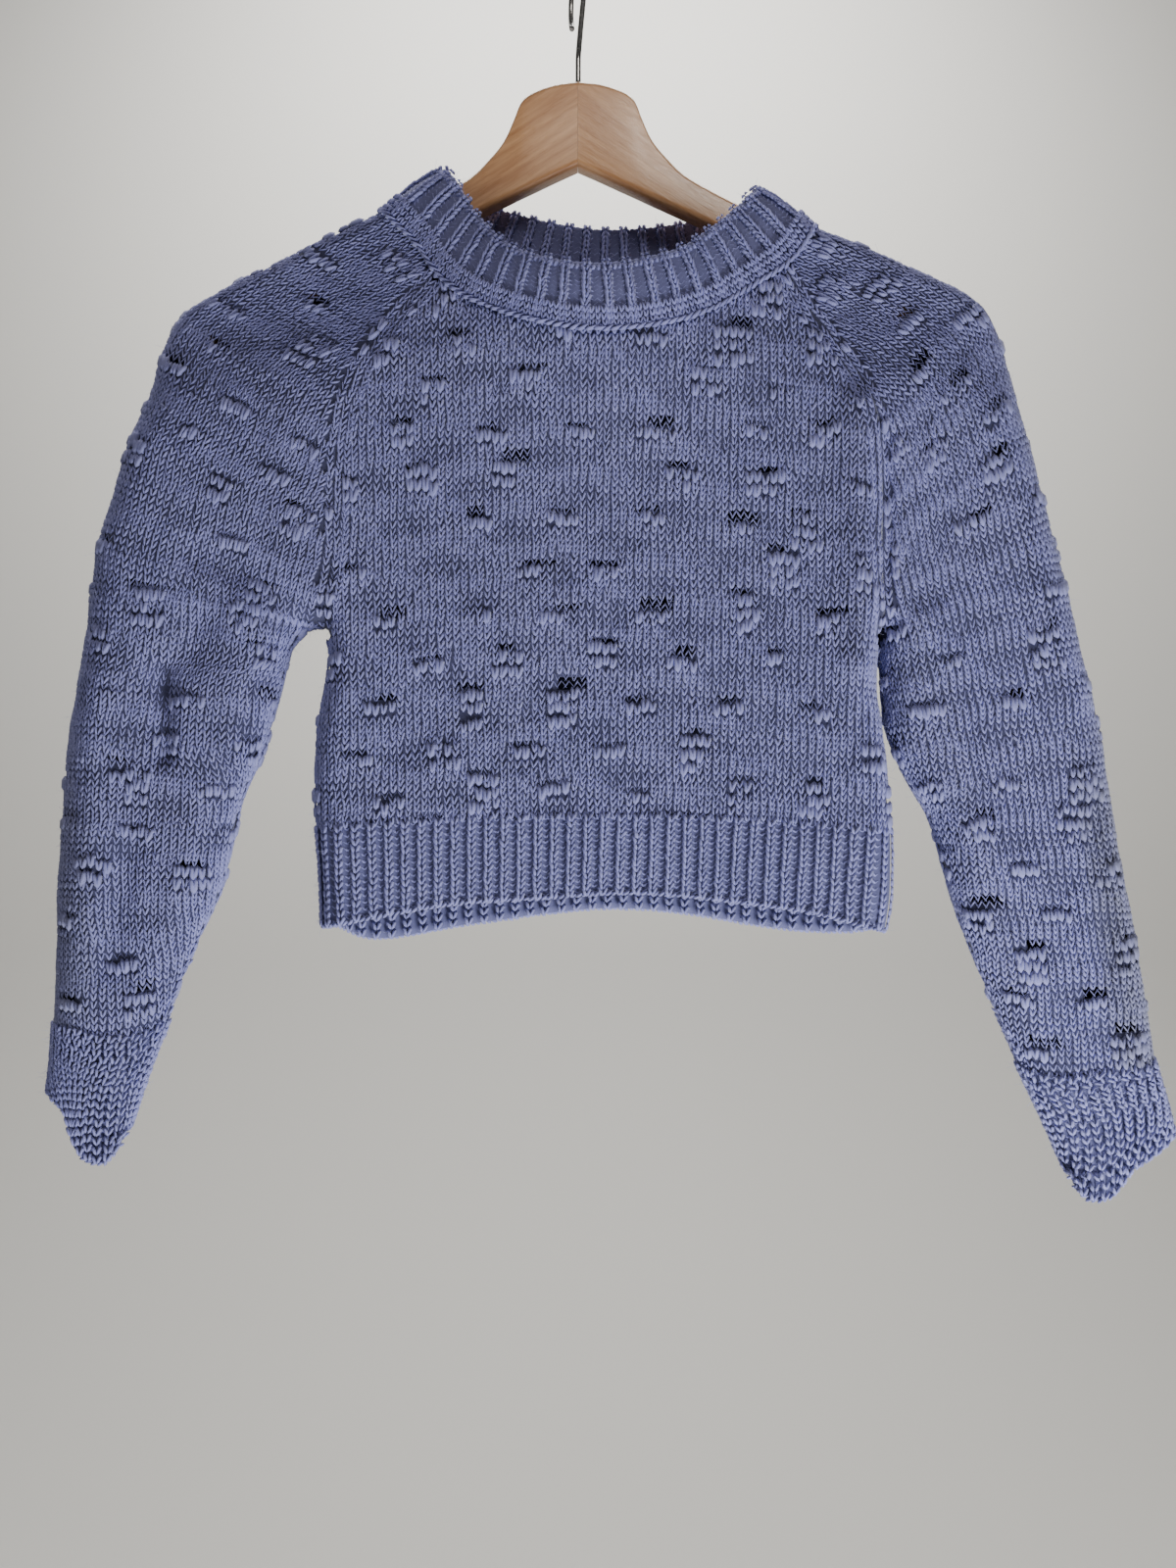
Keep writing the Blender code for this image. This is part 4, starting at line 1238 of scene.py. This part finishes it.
@dataclass
class Sleeve(KnitPiece):
    """A sleeve from the collar to the cuff, closed below the underarm."""

    side: Side = Side.RIGHT
    slub: Slub = field(default_factory=Slub)
    wear_from: float = 330.0  # drop from which the grey of matted wool and painted sheen grows towards the cuff
    wear_reach: float = 24.0
    wall_rows: int = 94
    wall_samples: int = 27  # points across each half of a row of the wall
    samples: int = 110  # the same of a course
    outer_weight: float = 0.62  # how far the courses keep their height at the outer edge, not the inner

    def inner_edge(self, face: Face, places: np.ndarray) -> np.ndarray:
        """Where the rows' inner ends lie: on the raglan, and below the underarm on the inner fold."""
        raglan = spline(RAGLANS[self.side.key, face.key])
        upper = at_shares(raglan, np.interp(places, np.arange(UNDERARM + 1), RAGLAN_SHARES))
        lower = catmull(SLEEVE_INNER[self.side.key], np.maximum(places - UNDERARM, 0))
        return np.where((places <= UNDERARM)[:, None], upper, lower)

    def rows_at(self, places: np.ndarray, samples: int) -> tuple[np.ndarray, np.ndarray, np.ndarray]:
        """Rows round the sleeve, each from the front's inner edge over the outer edge to the back's.

        Args:
            places: Which rows, counted in rows of the table.
            samples: How many points each half of a row has.

        Returns:
            The rows' points, the same points flat, and the distance along each to its outer edge.
        """
        key = self.side.key
        hang = SLEEVE_HANGS[key]
        table = catmull(SLEEVE_OUTER[key], places)
        share = crowded(samples, 0.3)
        depth = np.repeat(table[:, 2], samples)
        closed = places >= UNDERARM
        halves, flat_halves = [], []
        for face in Face:
            neck = spline(NECKS[face.key])
            inner = self.inner_edge(face, places)
            flats = inner[:, None] + (table[:, None, :2] - inner[:, None]) * share[None, :, None]
            low = share_near(neck, RAGLANS[key, face.key][0])
            high = share_near(neck, SLEEVE_OUTER[key][0][:2])
            seam = at_shares(neck, low + (high - low) * share)
            straight = seam[0] + (seam[-1] - seam[0]) * share[:, None]
            flats = flats + (seam - straight)[None] * (1 - smooth_step(places / 2.5))[:, None, None]
            flats[..., 1] += table[:, None, 3] * lobe(key, share, face)
            grid = hang.lay(flats, face, depth)
            middle = middle_y(flats[..., 0])
            grid[:, -1, 1] = middle[:, -1]
            grid[closed, 0, 1] = middle[closed, 0]
            halves.append(grid)
            flat_halves.append(flats)
        rows, flats = (
            np.concatenate([front, back[:, -2::-1]], 1) for front, back in (halves, flat_halves)
        )
        centre = np.array([arc_lengths(row)[samples - 1] for row in rows])
        return rows, flats, centre

    def course_places(self) -> np.ndarray:
        """Where each course lies, counted in rows of the table, from the cuff up."""
        key = self.side.key
        last = len(SLEEVE_OUTER[key]) - 1
        places = np.linspace(0, last, 400)
        outer = catmull(SLEEVE_OUTER[key], places)[:, :2]
        inner = self.inner_edge(Face.FRONT, places)
        reach = self.outer_weight * arc_lengths(outer) + (1 - self.outer_weight) * arc_lengths(inner)
        count = int(reach[-1] / COURSE)
        return np.interp(reach[-1] - (np.arange(count) + 0.5) * reach[-1] / count, reach, places)

    def stitches(self) -> Stitches:
        """The sleeve's stitches, with a column along each raglan."""
        key = self.side.key
        places = self.course_places()
        rows, flats, centre = self.rows_at(places, self.samples)
        open_share = smooth_step((UNDERARM + 0.3 - places) / 0.6)
        margins = np.stack([WALE * (0.25 + 1.0 * open_share)] * 2, 1)
        found = Carrier(rows, flats, centre, margins).stitches()
        found = found.turned(self.side.value, self.wear(found))
        clear = np.ones(len(found.place), bool)
        for face in Face:
            near = distance_to(found.flat, spline(RAGLANS[key, face.key], 3)) < 0.95 * WALE
            clear &= ~(near & (np.sign(found.outwards[:, 1]) == face.value))
        parts = [found.kept(clear)]
        for face in Face:
            seam = spline(RAGLANS[key, face.key])[::-1]
            parts.append(column_beside(seam, self.side.value * 0.55 * WALE, SLEEVE_HANGS[key], face, 60.0))
        return Stitches.joined(parts)

    def wear(self, found: Stitches) -> np.ndarray:
        """How grey the wool is made, as matted wool and painted sheen: most along the outer edge and towards
        the cuff.
        """
        edge = distance_to(found.flat, OUTER_EDGES[self.side.key])
        low = smooth_step((found.flat[:, 1] - self.wear_from) / 90)
        streaks = 0.12 * np.sin(found.wale * 2.1) + 0.1 * np.sin(found.wale * 0.9 + 0.03 * found.flat[:, 1])
        band = 1 - smooth_step((edge - 0.7 * self.wear_reach) / (0.6 * self.wear_reach))
        all_round = 0.3 * np.exp(-((edge / 9) ** 2)) + low * band * (0.85 + streaks)
        return all_round * np.where(found.outwards[:, 1] < 0.3, 1, 0.5)

    def build(self) -> None:
        """Makes the sleeve."""
        last = len(SLEEVE_OUTER[self.side.key]) - 1
        places = np.linspace(last, 0, self.wall_rows)
        rows, flats, centre = self.rows_at(places, self.wall_samples)
        grid = inset(rows, self.side.value * WALL_INSET)
        grid[places >= UNDERARM, -1] = grid[places >= UNDERARM, 0]
        middle = (rows[:-1, :-1] + rows[1:, 1:]) / 2
        reach = np.array([arc_lengths(row) for row in middle])
        wale = (reach - centre[:-1, None]) / WALE - 0.5
        levels = self.course_places()
        course = np.interp(-(places[:-1] + places[1:]) / 2, -levels, np.arange(len(levels)))
        thin = self.slub.read(np.round(wale), np.repeat(course[:, None], wale.shape[1], 1)).thin
        thin[:, self.wall_samples :] = 0  # the back's wall stays whole
        wall = self.wall(grid, flats, False, thin > HOLE_AT, self.finishes.ground)
        self.dress(wall, knit_legs(self.stitches(), Yarn(), self.slub, self.seed), self.finishes.yarn)


@dataclass
class RibBand(KnitPiece):
    """A ribbed band: a wall that waves in and out, with knit columns on its crests."""

    pairs: int = 38
    courses: int = 14
    samples: int = 6  # wall points across a pair
    wave: float = 1.1
    purls: tuple = (0.5,)  # where in a pair the purl columns lie
    crest: float = 1.0  # how narrow the knit columns are
    knit_spread: float = 0.31
    fold: float = 0.0  # how much shorter the yarn looks where the band turns over
    closed: bool = False
    lined: bool = False  # whether the inside shows
    outward: float = 1.0  # the sign that makes the rows' cross product face out

    def surface(self, across: np.ndarray, up: np.ndarray) -> tuple[np.ndarray, np.ndarray]:
        """The band's middle sheet.

        Args:
            across: Shares of the band's length, one for each column.
            up: Shares of its height, one for each row.

        Returns:
            The points, row by row, and where they lie on the flat sweater.
        """
        raise NotImplementedError

    def waved(self, across: np.ndarray, up: np.ndarray) -> tuple[np.ndarray, np.ndarray]:
        """The band's points with its ribs' relief."""
        grid, flats = self.surface(across, up)
        crests = (0.5 + 0.5 * np.cos(2 * math.pi * across * self.pairs)) ** self.crest
        relief = self.wave * (2 * crests - 1)
        moved = grid - inset(grid, 1.0, self.closed)
        return grid + self.outward * moved * relief[None, :, None], flats

    def rib_stitches(self, phase: float) -> Stitches:
        """A column of stitches on every crest, or in every groove for a phase of half."""
        one_less = phase > 0 and not self.closed
        across = (np.arange(self.pairs - one_less) + phase) / self.pairs
        up = (np.arange(self.courses) + 0.5) / self.courses
        step, rise = 0.1 / self.pairs, 0.5 / self.courses
        here, flats = self.waved(across, up)
        ahead, _ = self.surface(across + step, up)
        behind, _ = self.surface(across - step, up)
        above, _ = self.waved(across, np.minimum(up + rise, 1))
        below, _ = self.waved(across, np.maximum(up - rise, 0))
        return stitch_grid(here, above - below, self.outward * (ahead - behind), flats)

    def build(self) -> None:
        """Makes the band."""
        count = self.pairs * self.samples
        across = np.arange(count + (not self.closed)) / count
        up = np.linspace(0, 1, self.courses + 2)
        grid, flats = self.waved(across, up)
        grid = inset(grid, self.outward * WALL_INSET, self.closed)
        wall = self.wall(grid, flats, self.closed, None, self.finishes.rib_ground)
        parts = []
        for number, phase in enumerate((0.0, *self.purls)):
            found = self.rib_stitches(phase)
            short = 1 - self.fold * np.exp(-((((found.course + 0.5) / self.courses - 0.5) / 0.07) ** 2))
            knit = Yarn(5.4 * short, 2.6, 2.1, math.radians(19), self.knit_spread, 0.2)
            purl = Yarn(4.3 * short, 2.2, 1.7, math.radians(56), 0.30, -0.25)
            parts.append(knit_legs(found, purl if number else knit, None, self.seed + number))
        self.dress(wall, Legs.joined(parts + self.extras()), self.finishes.rib)

    def extras(self) -> list[Legs]:
        """The band's other yarn: its bound edge, and the back of its stitches where that shows."""
        across = np.linspace(0, 1, 400)
        line, _ = self.surface(across, np.array([0.0, 0.04]))
        out = self.outwards(line, np.roll(line, -1, 1) - line, line[1:] - line[:1])
        out[:, -2:] = out[:, -3:-2]
        parts = [chain_legs(line[0], out[0], 3.1, (2.6, 2.6, 4.4), math.radians(35), self.seed + 7)]
        if self.lined:
            inner = self.rib_stitches(0.5)
            inner.place = inner.place - 2.2 * inner.outwards
            yarn = Yarn(width=2.6, spread=0.3, lean=math.radians(22))
            parts.append(knit_legs(inner.turned(-1), yarn, None, self.seed + 8))
        return parts

    def outwards(self, place: np.ndarray, ahead: np.ndarray, above: np.ndarray) -> np.ndarray:
        """The directions out of the band's cloth."""
        return unit(self.outward * np.cross(ahead, above))


@dataclass
class HemRib(RibBand):
    """The ribbed hem of the front or the back."""

    face: Face = Face.FRONT
    overlap: float = 1.6  # how far the band reaches up past the panel's lower edge
    side_share: float = 0.08  # the share of its length over which the band is drawn to the side's edge

    def surface(self, across: np.ndarray, up: np.ndarray) -> tuple[np.ndarray, np.ndarray]:
        """The band between the hem's edge and the panel. See RibBand."""
        across = np.clip(across, 0, 1)
        bottom = self._even(spline(HEMS[self.face.key]), across)
        top = self._even(spline(RIB_TOP), across) - (0, self.overlap)
        flats = bottom[None] + (top - bottom)[None] * up[:, None, None]
        pull = np.clip(1 - np.minimum(across, 1 - across) / self.side_share, 0, 1)
        for end, half, key in ((0, across < 0.5, "right"), (-1, across >= 0.5, "left")):
            edge = SIDE_EDGES[key]
            wanted = np.interp(flats[:, end, 1], edge[:, 1], edge[:, 0])
            flats[..., 0] += (wanted - flats[:, end, 0])[:, None] * np.where(half, pull, 0)
        return BODY_HANG.lay(flats, self.face), flats

    def _even(self, curve: np.ndarray, shares: np.ndarray) -> np.ndarray:
        """The curve's flat points at even steps over the rounded cloth, not over its flat outline."""
        reach = arc_lengths(curve)
        dense = read_at(curve, reach, np.linspace(0, reach[-1], 700))
        laid = arc_lengths(BODY_HANG.lay(dense, self.face))
        return read_at(dense, laid / laid[-1], shares)


@dataclass
class CuffRib(RibBand):
    """The ribbed cuff of a sleeve."""

    side: Side = Side.RIGHT
    closed: bool = True

    def surface(self, across: np.ndarray, up: np.ndarray) -> tuple[np.ndarray, np.ndarray]:
        """The band round the wrist. See RibBand."""
        key = self.side.key
        table = catmull(CUFFS[key], (1 - up) * 2.06 - 0.06)
        dense = crowded(90, 0.2)
        grids, flat_rows = [], []
        for row in table:
            halves = []
            for face in Face:
                flat = row[2:4] + (row[:2] - row[2:4]) * dense[:, None]
                flat[:, 1] += row[5] * lobe(key, dense, face)
                laid = SLEEVE_HANGS[key].lay(flat, face, row[4])
                laid[[0, -1], 1] = middle_y(flat[[0, -1], 0])
                halves.append((laid, flat))
            points, flat = (np.vstack([front, back[-2::-1]]) for front, back in zip(*halves))
            reach = arc_lengths(points)
            wanted = np.mod(across, 1) * reach[-1]
            grids.append(read_at(points, reach, wanted))
            flat_rows.append(read_at(flat, reach, wanted))
        return np.array(grids), np.array(flat_rows)


@dataclass
class Collar(RibBand):
    """The collar: a doubled band of rib, sewn on at the neckline and folded over at its top."""

    closed: bool = True
    thickness: float = 2.6
    bulge: float = 1.8
    stand_off: float = -1.2
    inner_share: float = 0.9
    lower: float = 2.2  # how far the edge lies below the frame's, for the yarn on it

    def extras(self) -> list[Legs]:
        """The plain strip at the collar's foot, the twisted seam under it and the bound edge."""
        across = np.arange(4 * self.pairs) / (4 * self.pairs)
        up = np.array([0.012, 0.062, 0.112])
        place, flats = self.surface(across, up)
        above, _ = self.surface(across, up + 0.02)
        ahead, _ = self.surface(across + 0.002, up)
        lift = 0.9 * self.outwards(place, ahead - place, above - place)
        foot = stitch_grid(place + lift, above - place, self.outward * (ahead - place), flats)
        strip = knit_legs(foot, Yarn(length=4.6, width=2.0, spread=0.17, rise=0.5), None, self.seed + 5)
        line, _ = self.surface(np.linspace(0, 1, 400), np.array([-0.03, 0.0, 0.46, 0.48]))
        out = self.outwards(line, np.roll(line, -1, 1) - line, np.roll(line, -1, 0) - line)
        raised = line[0] + 1.1 * out[0]
        seam = chain_legs(raised, out[0], 4.3, (3.0, 2.9, 8.0), math.radians(20), self.seed + 6)
        edge = chain_legs(line[2], out[2], 2.8, (2.6, 2.9, 3.6), math.radians(78), self.seed + 7)
        return [strip, seam, edge]

    def surface(self, across: np.ndarray, up: np.ndarray) -> tuple[np.ndarray, np.ndarray]:
        """The band from its seam up the outside, over its edge and down the inside. See RibBand."""
        shares = np.linspace(0, 1, 240)
        seams = [BODY_HANG.lay(at_shares(spline(NECKS[face.key]), shares), face) for face in Face]
        edges = [at_shares(spline(COLLAR_TOPS[face.key]), shares) for face in Face]
        seam, edge = (np.vstack([front, back[-2::-1]]) for front, back in (seams, edges))
        edge = edge * (1, 1, -1) - (0, 0, self.lower)
        ahead = np.gradient((seam + edge) / 2, axis=0)
        ahead[0] = ahead[-1] = ahead[0] + ahead[-1]
        out = unit(np.cross(unit(ahead), edge - seam))
        reach = arc_lengths((seam + edge) / 2)
        wanted = np.mod(across, 1) * reach[-1]
        seam, edge, out = (read_at(line, reach, wanted) for line in (seam, edge, out))
        out = unit(out)
        tall = np.linalg.norm(edge - seam, axis=1, keepdims=True)
        rise = (edge - seam) / tall
        radius = self.thickness / 2
        outside = tall - radius - self.stand_off
        total = outside * (1 + self.inner_share) + math.pi * radius
        points = []
        for share in up:
            gone = share * total
            lift = np.minimum(gone, outside)
            turn = np.clip((gone - outside) / radius, 0, math.pi)
            inside = np.maximum(gone - outside - math.pi * radius, 0)
            along = self.stand_off + lift - inside + radius * np.sin(turn)
            away = radius * np.cos(turn) + self.bulge * np.sin(math.pi * np.clip(along / tall, 0, 1))
            points.append(seam + rise * along + out * away)
        flats = [np.stack([wanted, np.full(len(wanted), 90 * share)], 1) for share in up]
        return np.array(points), np.array(flats)


# ---------------------------------------------------------------- hanger


@dataclass
class Hanger:
    """The wooden hanger: two arms joined at the middle, and a wire hook."""

    finishes: Finishes
    stations: tuple = (
        (0.05, 0, 45.8), (12, 1.4, 51.2), (23, 5.0, 56.4), (29, 8.8, 59.2), (32, 13.5, 60.6),
        (34.5, 20, 61.8), (40, 32, 64.5), (48, 42, 68.2), (57.5, 51.2, 72.7), (72, 60, 79.5),
        (86, 67.5, 86), (129, 90, 106.4), (162, 106, 122), (198, 125, 140.5), (209, 132.5, 145),
        (214, 138, 144),
    )  # x, top, bottom
    thickness: float = 12.0
    edge: float = 3.2
    sweep: float = -5.5
    tilt: float = math.radians(0.9)
    wire_radius: float = 1.45
    hook_inner_radius: float = 20.0
    hook_turn: float = math.radians(-78)
    stem_straight: float = 15.5
    stem_lean_ends: float = 47.0
    stem_lean: float = 19.2
    hook_ends: float = math.radians(212)

    def section(self, top: float, bottom: float, thickness: float) -> list[tuple[float, float]]:
        """A rounded upright section of an arm: y and drop."""
        edge = min(self.edge, (bottom - top) / 2 - 0.5)
        points = []
        for k, (sy, sz) in enumerate(((1, 1), (-1, 1), (-1, -1), (1, -1))):
            y = sy * (thickness / 2 - edge)
            drop = bottom - edge if sz > 0 else top + edge
            for turn in range(0, 91, 15):
                angle = math.radians(turn) + QUARTER * k
                points.append((y + edge * math.cos(angle), drop + edge * math.sin(angle)))
        return points

    def arm(self, node: str, side: int, material: bpy.types.Material) -> None:
        """Lofts one arm through its stations."""
        rows = spline(self.stations, 5)
        points = []
        for x, top, bottom in rows:
            y_shift = self.sweep * (x / rows[-1][0]) ** 2
            tilt = side * x * math.sin(self.tilt)
            narrow = 1 - 0.2 * float(smooth_step(np.array([(x - 200) / 14]))[0])
            ring = self.section(top, bottom, self.thickness * narrow)
            points += [(side * x, y_shift + y, tilt - drop) for y, drop in ring]
        count, last = len(ring), len(points) - len(ring)
        faces = []
        for start in range(0, last, count):
            for i in range(count):
                j = (i + 1) % count
                faces.append((start + i, start + count + i, start + count + j, start + j))
        faces += [tuple(range(count)), tuple(range(len(points) - 1, last - 1, -1))]
        mesh = bpy.data.meshes.new(node + "_wood")
        mesh.from_pydata(to_frame(np.array(points)).tolist(), [], faces)
        self.fit(mesh, node, material)
        mesh.set_sharp_from_angle(angle=math.radians(40))

    def fit(self, mesh: bpy.types.Mesh, node: str, material: bpy.types.Material) -> None:
        """Finishes a mesh and puts it in its node's place."""
        weld(mesh, 0.01)
        mesh.materials.clear()
        mesh.materials.append(material)
        mesh.shade_smooth()
        obj = link(bpy.data.objects.new(mesh.name, mesh))
        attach(obj, BODY)
        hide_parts(node)
        LOG.info("%s: %d faces", node, len(mesh.polygons))

    def hook_route(self) -> np.ndarray:
        """The wire's centre line: away from the stem, and up from the wood's top."""
        share = np.linspace(0, 1, 12)
        rise = self.stem_straight + (self.stem_lean_ends - self.stem_straight) * share
        lean = np.stack([self.stem_lean * share**1.15, rise], 1)
        radius = self.hook_inner_radius + self.wire_radius
        angle = np.linspace(0, self.hook_ends, 48)
        centre = HOOK_RISE - self.hook_inner_radius
        crown = np.stack([radius * np.cos(angle), centre + radius * np.sin(angle)], 1)
        route = np.vstack([[(0, 0.3), (0, 5), (0, 10)], lean, crown])
        dense = spline(route, 4)
        kernel = np.ones(5) / 5
        smooth = dense.copy()
        smooth[2:-2] = np.stack([np.convolve(column, kernel, "valid") for column in dense.T], 1)
        return smooth

    def hook(self, node: str) -> None:
        """Bends the wire."""
        curve = bpy.data.curves.new(node, "CURVE")
        curve.dimensions = "3D"
        curve.bevel_depth = self.wire_radius * MM
        curve.bevel_resolution = 4
        curve.use_fill_caps = True
        route = self.hook_route()[::2]
        line = curve.splines.new("POLY")
        line.points.add(len(route) - 1)
        for point, (away, up) in zip(line.points, route):
            place = np.array([away * math.cos(self.hook_turn), away * math.sin(self.hook_turn), up])
            point.co = (*to_frame(place), 1)
        wire = link(bpy.data.objects.new(node + "_curve", curve))
        mesh = applied(wire)
        mesh.name = node + "_wire"
        bpy.data.objects.remove(wire)
        self.fit(mesh, node, self.finishes.wire)

    def build(self) -> None:
        """Makes the whole hanger."""
        self.arm("hanger_right_half", -1, self.finishes.wood_right)
        self.arm("hanger_left_half", 1, self.finishes.wood_left)
        self.hook("hanger_hook")


# ---------------------------------------------------------------- stage


@dataclass
class Stage:
    """The floor, the lights and the camera."""

    camera_x: float = 0.007
    camera_drop: float = 381.0
    camera_distance: float = 0.630
    lens: float = 26.5
    roll: float = math.radians(-0.24)
    floor_below: float = 1.7
    ambient: float = 0.11

    def build(self) -> None:
        """Makes the stage."""
        self.backdrop()
        self.lights()
        self.camera()

    def backdrop(self) -> None:
        """A plain pale floor that bends up behind, well clear of the sweater."""
        profile = [(-4.0, 0.0), (1.3, 0.0)]
        profile += [(1.3 + 0.9 * math.sin(a), 0.9 - 0.9 * math.cos(a)) for a in np.linspace(0.1, QUARTER, 12)]
        profile.append((2.2, 4.5))
        low = -(self.floor_below + HOOK_RISE * MM)
        points = [(x, y, low + z) for x in (-5.0, 5.0) for y, z in profile]
        count = len(profile)
        faces = [(i, i + 1, count + i + 1, count + i) for i in range(count - 1)]
        mesh = bpy.data.meshes.new("backdrop")
        mesh.from_pydata(points, [], faces)
        mesh.shade_smooth()
        material, make, shader = new_material("pale_floor")
        make.fill(shader, Base_Color=(0.76, 0.75, 0.72, 1), Roughness=0.8)
        mesh.materials.append(material)
        link(bpy.data.objects.new("backdrop", mesh))
        world = bpy.data.worlds.new("studio")
        bpy.context.scene.world = world
        world.use_nodes = True
        background = world.node_tree.nodes["Background"]
        background.inputs["Color"].default_value = (0.86, 0.84, 0.80, 1)
        background.inputs["Strength"].default_value = self.ambient

    def area(self, name: str, place: tuple, aim: tuple, size: float, power: float, tint: tuple) -> None:
        """Adds a soft square light."""
        data = bpy.data.lights.new(name, "AREA")
        data.energy, data.size, data.color = power, size, tint
        lamp = link(bpy.data.objects.new(name, data))
        lamp.location = place
        lamp.rotation_euler = (Vector(aim) - Vector(place)).to_track_quat("-Z", "Y").to_euler()

    def lights(self) -> None:
        """Soft daylight from low in front, a warm weak light above, and light on the backdrop."""
        self.area("window", (0.42, -0.48, -1.27), (0.1, 0, -0.6), 0.4, 15.5, (0.955, 0.96, 1.0))
        self.area("side", (-1.2, -0.7, -1.1), (-0.1, 0, -0.5), 0.6, 2.5, (1.0, 0.99, 0.97))
        self.area("above", (0.16, -0.62, 0.26), (0.02, 0, -0.08), 0.24, 1.9, (1.0, 0.94, 0.86))
        self.area("behind", (0.0, 0.9, 1.6), (0.0, 2.2, -0.8), 1.6, 80, (1.0, 0.985, 0.955))

    def camera(self) -> None:
        """The camera, level and square to the sweater."""
        data = bpy.data.cameras.new("camera")
        data.lens, data.sensor_width = self.lens, 36
        data.sensor_fit = "AUTO"
        data.clip_start, data.clip_end = 0.02, 50
        camera = link(bpy.data.objects.new("camera", data))
        camera.location = (self.camera_x, -self.camera_distance, -(self.camera_drop + HOOK_RISE) * MM)
        camera.rotation_euler = (QUARTER, self.roll, 0)
        bpy.context.scene.camera = camera


def main() -> None:
    """Builds the sweater, its hanger and the stage."""
    logging.basicConfig(level=logging.INFO, format="%(name)s: %(message)s")
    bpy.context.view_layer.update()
    Stage().build()
    finishes = Finishes()
    common = {"finishes": finishes, "tree": LegTree()}
    BodyPanel("front_panel", seed=11, cut=(0.34, 0.31), cut_area=0.0800, face=Face.FRONT, **common).build()
    BodyPanel(
        "back_panel", seed=12, cut=(0.34, 0.33), cut_area=0.0840, face=Face.BACK, slub=Slub(seed=3.0),
        fibres=90, **common,
    ).build()
    for side, seed in ((Side.RIGHT, 21), (Side.LEFT, 31)):
        key = side.key
        Sleeve(
            f"{key}_sleeve", seed=seed, cut=(0.25, 0.45), cut_area=0.0900, side=side,
            slub=Slub(seed=seed), **common,
        ).build()
        CuffRib(
            f"{key}_cuff_rib", seed=seed + 1, cut=(0.175, 0.052), cut_area=0.0085, side=side, pairs=26,
            courses=16, wave=1.2, outward=float(side.value), **common,
        ).build()
    for face, seed in ((Face.FRONT, 41), (Face.BACK, 43)):
        HemRib(
            f"{face.key}_hem_rib", seed=seed, lined=face is Face.BACK, cut=(0.36, 0.055), cut_area=0.0180,
            face=face, wave=0.8, outward=-face.value, **common,
        ).build()
    Collar(
        "collar_rib", seed=51, cut=(0.49, 0.078), cut_area=0.0367, pairs=42, courses=28,
        samples=5, wave=0.8, crest=3.0, purls=(0.34, 0.66), fold=0.5, **common,
    ).build()
    Hanger(finishes).build()


if __name__ == "__main__":
    main()
